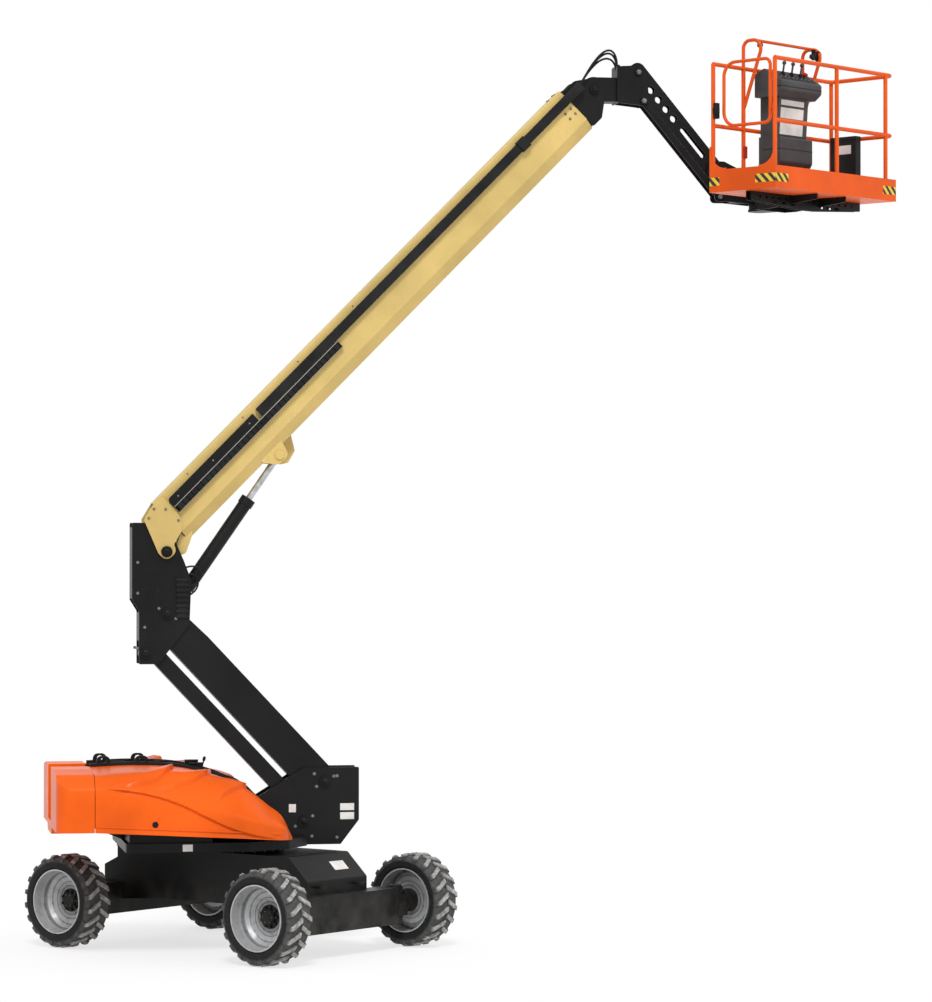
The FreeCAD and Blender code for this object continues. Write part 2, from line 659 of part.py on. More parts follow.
def riser_link():
    """Lower link of the riser's parallelogram."""
    turn = math.radians(RISER_ANGLE + 90)
    drop = LINK_OFFSET[0] * math.cos(turn) + LINK_OFFSET[1] * math.sin(turn)
    low = LINK_NEAR - drop
    high = LINK_FAR - drop
    body = plate([(-20.0, low + 30, 30), (60.0, low, 30), (RISER_LENGTH - 60, low, 30),
                  (RISER_LENGTH + 20, low + 30, 30), (RISER_LENGTH + 20, high, 5),
                  (-20.0, high, 5)], -LINK_HALF_WIDTH, LINK_HALF_WIDTH)
    inside = box(110.0, RISER_LENGTH - 110.0, -LINK_HALF_WIDTH + RISER_WALL,
                 LINK_HALF_WIDTH - RISER_WALL, low + RISER_WALL, high - RISER_WALL)
    body = body.cut(inside)
    eyes = [cross_pin(x, 0, EYE_RADIUS - 7, -LINK_HALF_WIDTH, LINK_HALF_WIDTH)
            for x in (0.0, RISER_LENGTH)]
    body = fuse([body] + eyes)
    for x in (0.0, RISER_LENGTH):
        body = body.cut(cross_pin(x, 0, PIN_RADIUS + PIN_CLEARANCE, -200, 200))
    return tilted(body, RISER_ANGLE, *LINK_PIN)


def upright():
    """Cheeked upright between the riser's top and the boom's foot."""
    x, z = RISER_TOP
    back = x - 312.0
    cheek = plate([
        (back, z + 801, 12), (back, z + 120, 20), (x - 250, z + 20, 20), (x - 250, z - 446, 12),
        (x - 80, z - 446, 30), (x + 196, z - 96, 40), (x + 211, z + 294, 30), (x + 146, z + 464, 40),
        (x + 60, z + 660, 60), (x - 150, z + 801, 30)], PLATE_INNER, CHEEK_OUTER)
    upper_web = box(back, back + 18, -PLATE_INNER, PLATE_INNER, z + 130, z + 760)
    lower_web = box(x - 250, x - 232, -PLATE_INNER, PLATE_INNER, z - 240, z + 10)
    pieces = both_sides(cheek) + [upper_web, lower_web]
    for pin in (RISER_TOP, LINK_TOP):
        pieces.extend(headed_pin(*pin, PIN_RADIUS, CHEEK_OUTER))
    foot_face = BOOM_HALF_WIDTH + FOOT_PLATE
    pieces.append(cross_pin(*BOOM_PIVOT, PIN_RADIUS, -foot_face - PIN_HEAD, foot_face + PIN_HEAD))
    pieces.extend(both_sides(cross_pin(*BOOM_PIVOT, PIN_RADIUS + 14, foot_face + SEAT_GAP,
                                       foot_face + PIN_HEAD)))
    pieces.extend(both_sides(cross_pin(*LIFT_FOOT, PIN_RADIUS, CHEEK_OUTER - 1,
                                       CHEEK_OUTER + 6)))
    return fuse(pieces)


# ---------------------------------------------------------------- upper boom
def boom_section(inset, start, end):
    """Boom's six-sided section, drawn in by an inset."""
    half = BOOM_HALF_WIDTH - inset
    floor = BOOM_FLOOR_HALF - inset / 3
    return section([
        (-floor, BOOM_BOTTOM + inset, 8), (floor, BOOM_BOTTOM + inset, 8),
        (half, BOOM_SHOULDER + inset / 2, 12), (half, BOOM_TOP - inset, 12),
        (-half, BOOM_TOP - inset, 12), (-half, BOOM_SHOULDER + inset / 2, 12)], start, end)


def placed_on_boom(shape):
    """Shape from the boom's own frame to the machine's."""
    return tilted(shape, BOOM_ANGLE, *BOOM_PIVOT)


LEVEL_EYE = (100.0, -90.0)   # levelling cylinder's eye on the boom's foot
LEVEL_INNER = 80.0
LEVEL_PLATE = 16.0


def boom_base():
    """Boom's base section with its foot plates and the cylinder's bracket."""
    tube = boom_section(0.0, BOOM_START, BOOM_LENGTH).cut(
        boom_section(BOOM_WALL, BOOM_START - 10, BOOM_LENGTH + 10))
    foot = plate([
        (210.0, 376.0, 20), (60.0, 340.0, 30), (-EYE_RADIUS, 40.0, 60),
        (-EYE_RADIUS, -EYE_RADIUS, EYE_RADIUS - 1), (EYE_RADIUS, -EYE_RADIUS, EYE_RADIUS - 4),
        (90.0, 0.0, 40), (240.0, 38.0, 30), (300.0, 130.0, 40),
        (TRAY_START - 10, 200.0, 20), (TRAY_START - 10, 376.0, 20)],
        BOOM_HALF_WIDTH, BOOM_HALF_WIDTH + FOOT_PLATE)
    foot = foot.cut(cross_pin(0, 0, PIN_RADIUS + PIN_CLEARANCE, 100, 200))
    lug = plate([
        (BRACKET_START, BOOM_SHOULDER), (BRACKET_START + 20, BOOM_BOTTOM),
        (ROD_EYE[0] - 62, BRACKET_BOTTOM, 45), (ROD_EYE[0] + 58, BRACKET_BOTTOM, 50),
        (BRACKET_END - 15, BOOM_BOTTOM), (BRACKET_END, BOOM_SHOULDER)],
        BRACKET_INNER, BRACKET_INNER + BRACKET_PLATE)
    lug = lug.cut(boom_section(BOOM_WALL - 2, BRACKET_START - 10, BRACKET_END + 10))
    far_lug = plate([
        (ROD_EYE[0], BOOM_SHOULDER), (ROD_EYE[0] - 62, BRACKET_BOTTOM, 45),
        (ROD_EYE[0] + 20, BRACKET_BOTTOM - 56, 20), (BRACKET_END + 30, BRACKET_BOTTOM - 24, 25),
        (BRACKET_END + 118, BOOM_BOTTOM + 10, 20), (BRACKET_END + 130, BOOM_SHOULDER)], BRACKET_INNER, BRACKET_INNER + BRACKET_PLATE)
    far_lug = far_lug.cut(boom_section(BOOM_WALL - 2, BRACKET_START - 10, BRACKET_END + 200))
    level_lug = plate([
        (BOOM_START + 130, BOOM_SHOULDER), (BOOM_START + 50, BOOM_BOTTOM + 5),
        (LEVEL_EYE[0] + 20, LEVEL_EYE[1] - 42, 40), (LEVEL_EYE[0] - 42, LEVEL_EYE[1] - 30, 40),
        (LEVEL_EYE[0] - 30, LEVEL_EYE[1] + 42, 40), (BOOM_START, BOOM_SHOULDER)],
        LEVEL_INNER, LEVEL_INNER + LEVEL_PLATE)
    level_lug = level_lug.cut(boom_section(BOOM_WALL - 2, BOOM_START - 10, BOOM_START + 400))
    level_pin = cross_pin(*LEVEL_EYE, 18.0, LEVEL_INNER - 4, LEVEL_INNER + LEVEL_PLATE + 4)
    pin = cross_pin(*ROD_EYE, PIN_RADIUS - 8, -BRACKET_INNER - BRACKET_PLATE,
                    BRACKET_INNER + BRACKET_PLATE)
    heads = both_sides(cross_pin(*ROD_EYE, PIN_RADIUS + 4, BRACKET_INNER + BRACKET_PLATE - 1,
                                 BRACKET_INNER + BRACKET_PLATE + 14))
    body = fuse([tube] + both_sides(foot) + both_sides(lug) + both_sides(level_lug)
                + both_sides(level_pin) + [far_lug, pin] + heads)
    return placed_on_boom(body)


def hose_tray():
    """Channel for the hose track, with the fixed carrier above it."""
    face = -BOOM_HALF_WIDTH
    channel = box(TRAY_START, TRAY_END, face - TRAY_DEPTH, face, TRAY_BOTTOM, TRAY_TOP)
    channel = channel.cut(box(TRAY_START + TRAY_WALL, TRAY_END + 1, face - TRAY_DEPTH - 1,
                              face - TRAY_WALL, TRAY_BOTTOM + TRAY_WALL, TRAY_TOP - TRAY_WALL))
    carrier = plate([
        (TRAY_START, TRAY_TOP - 1), (TRAY_START, TUBE_BASE + 75, 30),
        (CARRIER_END, TUBE_BASE + 75), (CARRIER_END, TRAY_TOP - 1)],
        face - TUBE_WIDTH, face)
    return placed_on_boom(fuse([channel, carrier]))


def power_track():
    """Chain of hose links lying in the tray."""
    face = -BOOM_HALF_WIDTH - TRAY_WALL
    start = TRAY_START + 20
    end = TRAY_END - 20
    low = TRAY_BOTTOM + TRAY_WALL
    high = TRAY_TOP - TRAY_WALL - 6
    chain = box(start, end, face - TRAY_DEPTH + TRAY_WALL + 6, face, low, high)
    grooves = []
    x = start + TRACK_PITCH
    while x < end - TRACK_PITCH / 2:
        grooves.append(box(x, x + TRACK_GROOVE, face - TRAY_DEPTH, face - TRAY_DEPTH / 2,
                           low - 1, high + 1))
        x += TRACK_PITCH
    return placed_on_boom(chain.cut(Part.makeCompound(grooves)))


def tube_clamp():
    """Guide on the base section that the push tube slides through."""
    face = -BOOM_HALF_WIDTH
    inner = face - SLIDE_CLEARANCE - TUBE_WIDTH - 5
    low = TUBE_BASE - 5
    high = TUBE_BASE + TUBE_DEPTH + 5
    x0 = CLAMP_STATION - CLAMP_LENGTH / 2
    x1 = CLAMP_STATION + CLAMP_LENGTH / 2
    ring = box(x0, x1, inner - CLAMP_WALL, face, low - CLAMP_WALL, high + CLAMP_WALL)
    return placed_on_boom(ring.cut(box(x0 - 1, x1 + 1, inner, face + 1, low, high)))


def wear_pads():
    """Slide pads inside the mouth of the base section."""
    inner = BOOM_HALF_WIDTH - BOOM_WALL
    thick = FLY_CLEARANCE - SEAT_GAP
    x0 = BOOM_LENGTH - 130.0
    x1 = BOOM_LENGTH
    side = box(x0, x1, inner - thick, inner, 120.0, 240.0)
    top = box(x0, x1, -70.0, 70.0, BOOM_TOP - BOOM_WALL - thick, BOOM_TOP - BOOM_WALL)
    floor = box(x0, x1, -45.0, 45.0, BOOM_BOTTOM + BOOM_WALL, BOOM_BOTTOM + BOOM_WALL + thick)
    return placed_on_boom(Part.makeCompound(both_sides(side) + [top, floor]))


def lift_barrel():
    """Lift cylinder's barrel, from its foot eye in the upright."""
    eye = cross_pin(0, 0, BARREL_RADIUS - 8, -BARREL_RADIUS + 18, BARREL_RADIUS - 18)
    tube = Part.makeCylinder(BARREL_RADIUS, BARREL_LENGTH - 30, V(30, 0, 0), V(1, 0, 0))
    gland = Part.makeCylinder(BARREL_RADIUS + 8, 70.0, V(BARREL_LENGTH - 70, 0, 0), V(1, 0, 0))
    body = fuse([eye, tube, gland])
    body = body.cut(Part.makeCylinder(BARREL_BORE, BARREL_LENGTH - 130, V(110, 0, 0), V(1, 0, 0)))
    body = body.cut(Part.makeCylinder(ROD_RADIUS + 0.3, 60.0, V(BARREL_LENGTH - 40, 0, 0),
                                      V(1, 0, 0)))
    return tilted(body, LIFT_ANGLE, *LIFT_FOOT)


def lift_rod():
    """Chromed rod with its piston and the eye on the boom's bracket."""
    eye_half = BRACKET_INNER - 4
    start = LIFT_SPAN - LIFT_STROKE_TAIL
    shaft = Part.makeCylinder(ROD_RADIUS, LIFT_STROKE_TAIL - 20, V(start, 0, 0), V(1, 0, 0))
    piston = Part.makeCylinder(BARREL_BORE - 0.3, 60.0, V(start, 0, 0), V(1, 0, 0))
    eye = cross_pin(LIFT_SPAN, 0, 46.0, -eye_half, eye_half)
    body = fuse([shaft, piston, eye])
    body = body.cut(cross_pin(LIFT_SPAN, 0, PIN_RADIUS - 8 + PIN_CLEARANCE, -100, 100))
    return tilted(body, LIFT_ANGLE, *LIFT_FOOT)


LIFT_STROKE_TAIL = 990.0     # rod from its piston to its eye
HUB_SEAT = -46.0             # wheel disc's outer face from the tyre's centre plane
TIE_SPACING = 520.0


def fly_tube():
    """Sliding fly section with the pads at its inner end."""
    inset = BOOM_WALL + FLY_CLEARANCE
    tube = boom_section(inset, FLY_START, NOSE_START).cut(
        boom_section(inset + FLY_WALL, FLY_START - 10, NOSE_START + 10))
    thick = FLY_CLEARANCE - SEAT_GAP
    outer = BOOM_HALF_WIDTH - inset
    pads = both_sides(box(FLY_START, FLY_START + 150, outer - 1, outer + thick, 120.0, 240.0))
    pads.append(box(FLY_START, FLY_START + 150, -70.0, 70.0, BOOM_TOP - inset - 1,
                    BOOM_TOP - inset + thick))
    return placed_on_boom(fuse([tube] + pads))


def fly_nose():
    """Nose of the fly section: end plate, yoke cheeks and push-tube bracket."""
    face = plate([(NOSE_START, -58.0, 15), (NOSE_START + 24, -58.0), (NOSE_START + 24, 366.0),
                  (NOSE_START, 366.0)], -CHEEK_INNER - CHEEK_PLATE, CHEEK_INNER + CHEEK_PLATE)
    cheek = plate([
        (NOSE_START, -60.0, 20), (NOSE_START + 110, -60.0, 40), (YOKE_PIN[0] + 82, 95.0, 60),
        (YOKE_PIN[0] + 82, 240.0, 70), (YOKE_PIN[0] - 80, 352.0, 60), (NOSE_START, 352.0)],
        CHEEK_INNER, CHEEK_INNER + CHEEK_PLATE)
    reach = CHEEK_INNER + CHEEK_PLATE
    bracket = box(NOSE_START + 30, NOSE_START + 150, -BOOM_HALF_WIDTH - SLIDE_CLEARANCE,
                  -reach + 1, TUBE_BASE + 10, TUBE_BASE + TUBE_DEPTH - 10)
    pieces = [face] + both_sides(cheek) + headed_pin(*YOKE_PIN, 30.0, reach) + [bracket]
    return placed_on_boom(fuse(pieces))


def push_tube():
    """Hose tube that travels with the fly section along the boom's side."""
    outer = -BOOM_HALF_WIDTH - SLIDE_CLEARANCE
    return placed_on_boom(box(TUBE_START, NOSE_START + 170, outer - TUBE_WIDTH, outer,
                              TUBE_BASE, TUBE_BASE + TUBE_DEPTH))


# ---------------------------------------------------------------- jib
def yoke():
    """Levelled yoke on the boom's nose that carries the jib."""
    x, z = YOKE_CENTRE
    half = CHEEK_INNER - 9
    front = x + 235.0
    eye = cross_pin(x, z, 120.0, -half, half)
    neck = box(x, front, -half, half, z - 100, z + 118)
    eye = fuse([eye, neck]).cut(cross_pin(x, z, 30.0 + PIN_CLEARANCE, -200, 200))
    flange = plate([(front - 26, z - 110, 12), (front, z - 110, 12), (front, z + 232, 12),
                    (front - 26, z + 232, 12)], -120.0, 120.0)
    jib_x, jib_z = JIB_PIN
    link_x, link_z = JIB_LINK_PIN
    cheek = plate([
        (front, link_z - 20), (front, jib_z + 52, 15), (jib_x + 20, jib_z + 62, 50),
        (jib_x + 78, jib_z, 50), (link_x + 48, link_z + 10, 40), (link_x + 10, link_z - 48, 36),
        (link_x - 40, link_z - 40, 20)], JIB_CHEEK_INNER, JIB_CHEEK_INNER + JIB_CHEEK_PLATE)
    reach = JIB_CHEEK_INNER + JIB_CHEEK_PLATE
    pieces = [eye, flange] + both_sides(cheek)
    pieces += headed_pin(jib_x, jib_z, JIB_PIN_RADIUS, reach)
    pieces += stub_pins(link_x, link_z)
    return fuse(pieces)


def stub_pins(x, z):
    """Pins for the links' ends that stop short of the jib between them."""
    reach = JIB_CHEEK_INNER + JIB_CHEEK_PLATE
    pins = both_sides(cross_pin(x, z, JIB_PIN_RADIUS, JIB_LINK_INNER - 1, reach))
    return pins + both_sides(cross_pin(x, z, JIB_PIN_RADIUS + 14, reach - 1, reach + PIN_HEAD))


def jib_beam():
    """Box jib with lightening holes through its sides."""
    depth = JIB_HALF_DEPTH
    outline = [(-depth, -depth, 70), (JIB_LENGTH + depth, -depth, 70),
               (JIB_LENGTH + depth, depth, 70), (-depth, depth, 70)]
    body = plate(outline, -JIB_HALF_WIDTH, JIB_HALF_WIDTH)
    inside = box(70.0, JIB_LENGTH - 70, -JIB_HALF_WIDTH + JIB_WALL, JIB_HALF_WIDTH - JIB_WALL,
                 -depth + JIB_WALL, depth - JIB_WALL)
    body = body.cut(inside)
    for index in range(JIB_HOLES):
        x = 200.0 + index * JIB_HOLE_PITCH
        body = body.cut(cross_pin(x, 0, JIB_HOLE_RADIUS, -100, 100))
    slot_start = 200.0 + JIB_HOLES * JIB_HOLE_PITCH
    body = body.cut(plate([(slot_start, -26.0, 25.9), (JIB_LENGTH - 130, -26.0, 25.9),
                           (JIB_LENGTH - 130, 26.0, 25.9), (slot_start, 26.0, 25.9)], -100, 100))
    for x in (0.0, JIB_LENGTH):
        body = body.cut(cross_pin(x, 0, JIB_PIN_RADIUS + PIN_CLEARANCE, -200, 200))
    return tilted(body, JIB_ANGLE, *JIB_PIN)


JIB_HOLES = 4
JIB_HOLE_PITCH = 110.0
JIB_HOLE_RADIUS = 34.0


def jib_link():
    """Pair of flat levelling links that straddle the jib."""
    half = JIB_LINK_HALF
    bar = plate([(-half - 8, -half - 4, 26), (JIB_LENGTH + half + 8, -half - 4, 26),
                 (JIB_LENGTH + half + 8, half, 24), (-half - 8, half, 24)],
                JIB_LINK_INNER, JIB_LINK_INNER + JIB_LINK_PLATE)
    for x in (0.0, JIB_LENGTH):
        bar = bar.cut(cross_pin(x, 0, JIB_PIN_RADIUS + PIN_CLEARANCE, 0, 200))
    return tilted(Part.makeCompound(both_sides(bar)), JIB_ANGLE, *JIB_LINK_PIN)


def jib_head():
    """Bracket at the jib's end that holds the platform rotator."""
    x, z = JIB_END
    link_x, link_z = JIB_LINK_END
    cheek = plate([
        (x - 55, z + 62, 45), (x + 90, z + 62, 30), (ROTATOR_X - 60, ROTATOR_TOP - 32, 30),
        (ROTATOR_X - 60, ROTATOR_BOTTOM + 40, 20), (link_x + 70, link_z - 42, 20),
        (link_x - 48, link_z - 42, 38), (link_x - 48, link_z + 40, 20), (x - 68, z - 30, 40)],
        JIB_CHEEK_INNER, JIB_CHEEK_INNER + JIB_CHEEK_PLATE)
    reach = JIB_CHEEK_INNER + JIB_CHEEK_PLATE
    housing = Part.makeCylinder(ROTATOR_RADIUS, ROTATOR_TOP - ROTATOR_BOTTOM,
                                V(ROTATOR_X, 0, ROTATOR_BOTTOM))
    web = box(x + 150, ROTATOR_X - 60, -JIB_CHEEK_INNER, JIB_CHEEK_INNER,
              ROTATOR_BOTTOM + 60, ROTATOR_TOP - 40)
    pieces = both_sides(cheek) + [housing, web]
    pieces += headed_pin(x, z, JIB_PIN_RADIUS, reach)
    pieces += stub_pins(link_x, link_z)
    return fuse(pieces)


# ---------------------------------------------------------------- platform
def placed_platform(shape):
    """Shape from the platform's own frame to the machine's."""
    return yawed(shape, PLATFORM_YAW, ROTATOR_X, 0.0, PLATFORM_BOTTOM)


PLATFORM_FRONT = PLATFORM_BACK + PLATFORM_WIDTH
HALF_LENGTH = PLATFORM_LENGTH / 2
POST_INSET = 24.0


def platform_support():
    """Bracket from the rotator, under-floor arms and the tapered cross beam."""
    top = ROTATOR_TOP - PLATFORM_BOTTOM + SEAT_GAP
    low = ROTATOR_BOTTOM - PLATFORM_BOTTOM - SEAT_GAP
    back = -PLATFORM_BACK
    ear_outline = [(-92.0, 80.0, 70), (92.0, 80.0, 70), (110.0, back + 14), (-110.0, back + 14)]
    ears = [slab(ear_outline, top, top + 20), slab(ear_outline, low - 20, low)]
    wall = box(-220.0, 220.0, back, back + 14, low - 20, top + 20)
    pieces = ears + [wall]
    for x in (-ARM_SPACING / 2, ARM_SPACING / 2):
        arm = section([(back + 14, 0.0), (back + 14, low - 20), (back - 120, low - 20),
                       (-PLATFORM_FRONT + 60, -48.0), (-PLATFORM_FRONT + 60, 0.0)],
                      x - 6, x + 6)
        pieces.append(arm)
    middle = -PLATFORM_BACK - PLATFORM_WIDTH / 2
    beam = plate([(-BEAM_REACH, 0.0), (-BEAM_REACH, -78.0, 15), (-160.0, -118.0, 20),
                  (160.0, -118.0, 20), (BEAM_REACH, -78.0, 15), (BEAM_REACH, 0.0)],
                 middle - 30, middle + 30)
    hollow = plate([(-BEAM_REACH - 1, -8.0), (-BEAM_REACH - 1, -200.0), (BEAM_REACH + 1, -200.0),
                    (BEAM_REACH + 1, -8.0)], middle - 24, middle + 24)
    beam = beam.cut(hollow)
    holes = []
    for side in (1, -1):
        for index in range(BEAM_HOLES):
            holes.append(cross_pin(side * (110.0 + index * BEAM_HOLE_PITCH), -38.0, 15.0,
                                   middle - 60, middle + 60))
        for x in (210.0, 330.0, 450.0):
            holes.append(plate([(side * x - 40, -92.0, 12.9), (side * x + 40, -92.0, 12.9),
                                (side * x + 40, -66.0, 12.9), (side * x - 40, -66.0, 12.9)],
                               middle - 60, middle + 60))
    beam = beam.cut(Part.makeCompound(holes))
    pieces.append(beam)
    return placed_platform(fuse(pieces))


ARM_SPACING = 420.0
BEAM_REACH = 810.0
BEAM_HOLES = 7
BEAM_HOLE_PITCH = 95.0


def platform_deck():
    """Open tray of floor and toe boards."""
    tray = box(-HALF_LENGTH, HALF_LENGTH, -PLATFORM_FRONT, -PLATFORM_BACK, 0.0, SKIRT_HEIGHT)
    inside = box(-HALF_LENGTH + SHEET, HALF_LENGTH - SHEET, -PLATFORM_FRONT + SHEET,
                 -PLATFORM_BACK - SHEET, 6.0, SKIRT_HEIGHT + 1)
    pieces = [tray.cut(inside)]
    for y, inward in ((-PLATFORM_FRONT, 1), (-PLATFORM_BACK, -1)):
        pieces.append(section([
            (y, SKIRT_HEIGHT - 5), (y, SKIRT_HEIGHT + GUSSET_HEIGHT),
            (y + 22 * inward, SKIRT_HEIGHT + GUSSET_HEIGHT),
            (y + 22 * inward, SKIRT_HEIGHT + 12, GUSSET_SWEEP),
            (y + GUSSET_REACH * inward, SKIRT_HEIGHT + 12),
            (y + GUSSET_REACH * inward, SKIRT_HEIGHT - 5)], -HALF_LENGTH, -HALF_LENGTH + SHEET))
    return placed_platform(fuse(pieces))


GUSSET_HEIGHT = 210.0        # curved gussets beside the entry
GUSSET_REACH = 190.0
GUSSET_SWEEP = 150.0


def post(x, y, top):
    """Upright rail post standing on the floor."""
    return upright_pin(x, y, RAIL_RADIUS, 6.0, top)


def console_hoop(x, far):
    """Tube loop beside the console: up the post, round the top and back down to the post."""
    return bent_tube([
        (V(x, far, RAIL_HEIGHT - 20), 0), (V(x, far, HOOP_TOP), 70),
        (V(x, far - HOOP_REACH, HOOP_TOP), 85), (V(x, far - 10, HOOP_FOOT), 0)], RAIL_RADIUS - 3)


def guard_rails():
    """Posts, the two U-shaped rails open at the gate's end, and the console's hoops."""
    x = HALF_LENGTH - POST_INSET
    near = -PLATFORM_FRONT + POST_INSET
    far = -PLATFORM_BACK - POST_INSET
    pieces = [post(px, far, RAIL_HEIGHT) for px in (-x, -HOOP_X, HOOP_X, x)]
    pieces += [post(px, near, RAIL_HEIGHT) for px in (-x, MID_POST_X, x - END_POST_SETBACK)]
    for z in (RAIL_HEIGHT, MID_RAIL_HEIGHT):
        pieces.append(bent_tube([(V(-x, near, z), 0), (V(x, near, z), RAIL_BEND),
                                 (V(x, far, z), RAIL_BEND), (V(-x, far, z), 0)], RAIL_RADIUS))
    pieces += [console_hoop(hoop_x, far) for hoop_x in (-HOOP_X, HOOP_X)]
    pieces.append(rod_between(V(-HOOP_X, far - HOOP_REACH / 2, HOOP_TOP),
                              V(HOOP_X, far - HOOP_REACH / 2, HOOP_TOP), RAIL_RADIUS - 5))
    anchor = RAIL_HEIGHT - 90
    pieces.append(bent_tube([
        (V(HOOP_X, far - 100, anchor), 0), (V(HOOP_X + 160, far - 100, anchor), 40),
        (V(HOOP_X + 160, far, RAIL_HEIGHT), 0)], RAIL_RADIUS - 7))
    return placed_platform(fuse(pieces))


MID_POST_X = 30.0
END_POST_SETBACK = 105.0     # near end post from the rails' bend
HOOP_X = 440.0
HOOP_TOP = 1400.0
HOOP_REACH = 235.0
HOOP_FOOT = 800.0
GATE_OFFSET = 46.0           # gate's hinge line inboard of the post
GATE_TUBE = 15.0
GATE_REACH = 560.0
GATE_BEND = 125.0


def gate():
    """Inward swinging gate: a rounded loop between the two rails' heights."""
    x = -HALF_LENGTH + POST_INSET + GATE_OFFSET
    hinge = -PLATFORM_FRONT + POST_INSET + GATE_OFFSET
    start = hinge + 40.0
    end = hinge + GATE_REACH
    low = MID_RAIL_HEIGHT - 10.0
    high = RAIL_HEIGHT + 5.0
    pieces = [bent_tube([(V(x, start, low), 60), (V(x, end, low), GATE_BEND),
                         (V(x, end, high), GATE_BEND), (V(x, start, high), 60)],
                        GATE_TUBE, closed=True)]
    for z in GATE_HINGES:
        pieces.append(upright_pin(x, hinge, 14.0, z, z + 50))
        pieces.append(box(x - 6, x + 6, hinge, start, z + 10, z + 40))
    return placed_platform(fuse(pieces))


GATE_HINGES = (700.0, 1000.0)


def gate_hinges():
    """Hinge lugs on the corner post below each of the gate's barrels."""
    x = -HALF_LENGTH + POST_INSET
    y = -PLATFORM_FRONT + POST_INSET
    pieces = []
    for z in GATE_HINGES:
        pieces.append(upright_pin(x + GATE_OFFSET, y + GATE_OFFSET, 14.0,
                                  z - 40 - SEAT_GAP, z - SEAT_GAP))
        web = box(0, GATE_OFFSET * math.sqrt(2), -6, 6, z - 35, z - 5)
        pieces.append(yawed(web, 45.0, x, y))
    post_space = upright_pin(x, y, RAIL_RADIUS, 0, RAIL_HEIGHT)
    return placed_platform(fuse(pieces).cut(post_space))


def console():
    """Control console on the platform's inner side: desk, panel and foot box."""
    back = -PLATFORM_BACK - POST_INSET - RAIL_RADIUS - SEAT_GAP
    desk = section([
        (back, DESK_BOTTOM), (back, RAIL_HEIGHT - 40, 30), (back - 110, RAIL_HEIGHT + 10, 40),
        (back - DESK_DEPTH, RAIL_HEIGHT - 110, 40), (back - DESK_DEPTH, DESK_BOTTOM + 55, 30),
        (back - DESK_DEPTH + 70, DESK_BOTTOM, 30)], -DESK_HALF_WIDTH, DESK_HALF_WIDTH)
    panel = section([
        (back, PANEL_BOTTOM), (back, DESK_BOTTOM + 5), (back - 215, DESK_BOTTOM + 5),
        (back - 190, PANEL_BOTTOM, 20)], -DESK_HALF_WIDTH + 85, DESK_HALF_WIDTH - 85)
    foot = section([
        (back, 260.0), (back, PANEL_BOTTOM + 5), (back - 240, PANEL_BOTTOM + 5, 25),
        (back - 240, 320.0, 40), (back - 200, 260.0, 20)], -DESK_HALF_WIDTH + 60, DESK_HALF_WIDTH - 60)
    body = fuse([desk, panel, foot])
    sticks = []
    for x in (-130.0, 0.0, 130.0):
        sticks.append(rod_between(V(x, back - 180, RAIL_HEIGHT - 80), V(x, back - 205, RAIL_HEIGHT + 60), 9.0))
        sticks.append(Part.makeSphere(19.0, V(x, back - 206, RAIL_HEIGHT + 65)))
    return placed_platform(fuse([body] + sticks))


DESK_BOTTOM = 900.0
DESK_DEPTH = 300.0
DESK_HALF_WIDTH = 300.0
PANEL_BOTTOM = 540.0


def document_box():
    """Weatherproof box on the end rail."""
    x = HALF_LENGTH - POST_INSET - RAIL_RADIUS - SEAT_GAP
    far = -PLATFORM_BACK - POST_INSET - RAIL_BEND
    return placed_platform(box(x - 75, x, far - 290, far, 240.0, MID_RAIL_HEIGHT + 20))


# ---------------------------------------------------------------- assembly
def on_chassis(shape):
    """Shape from the chassis's own frame to the machine's."""
    return yawed(shape, CHASSIS_YAW)


def build_nodes():
    """Every sub-part by name, in the machine's frame."""
    nodes = {
        "chassis_frame": on_chassis(chassis_frame()),
        "front_axle": on_chassis(front_axle()),
        "rear_axle": on_chassis(rear_axle()),
        "swing_bearing": swing_bearing(),
        "knuckle_left": on_chassis(knuckle(1)),
        "knuckle_right": on_chassis(knuckle(-1)),
        "turntable_base": turntable_base(),
        "spine": spine(),
        "counterweight": counterweight(),
        "hood_left": hood(),
        "hood_right": mirrored(hood()),
        "power_pack": bay_block(250.0, 760.0, 1420.0),
        "tank_block": bay_block(-760.0, -250.0, 1380.0),
        "pedestal": pedestal(),
        "riser": riser(),
        "riser_link": riser_link(),
        "upright": upright(),
        "boom_base": boom_base(),
        "hose_tray": hose_tray(),
        "power_track": power_track(),
        "tube_clamp": tube_clamp(),
        "wear_pads": wear_pads(),
        "lift_barrel": lift_barrel(),
        "lift_rod": lift_rod(),
        "fly_tube": fly_tube(),
        "fly_nose": fly_nose(),
        "push_tube": push_tube(),
        "yoke": yoke(),
        "jib_beam": jib_beam(),
        "jib_link": jib_link(),
        "jib_head": jib_head(),
        "platform_support": platform_support(),
        "platform_deck": platform_deck(),
        "guard_rails": guard_rails(),
        "gate": gate(),
        "gate_hinges": gate_hinges(),
        "console": console(),
        "document_box": document_box(),
    }
    left_parts = {"tyre": tyre(), "rim": rim(), "hub": hub()}
    for end, x in (("front", WHEELBASE / 2), ("rear", -WHEELBASE / 2)):
        for side, sign in (("left", 1), ("right", -1)):
            for name, shape in left_parts.items():
                piece = shape if sign > 0 else mirrored(shape)
                piece = yawed(piece, 0.0, x, sign * TRACK / 2, TYRE_RADIUS)
                nodes[f"{name}_{end}_{side}"] = on_chassis(piece)
    return nodes


def origin_shift(nodes):
    """Vector that sets the bounding box's bottom centre on the origin."""
    bounds = FreeCAD.BoundBox()
    for shape in nodes.values():
        bounds.add(shape.BoundBox)
    return V(-bounds.Center.x, -bounds.Center.y, -bounds.ZMin)


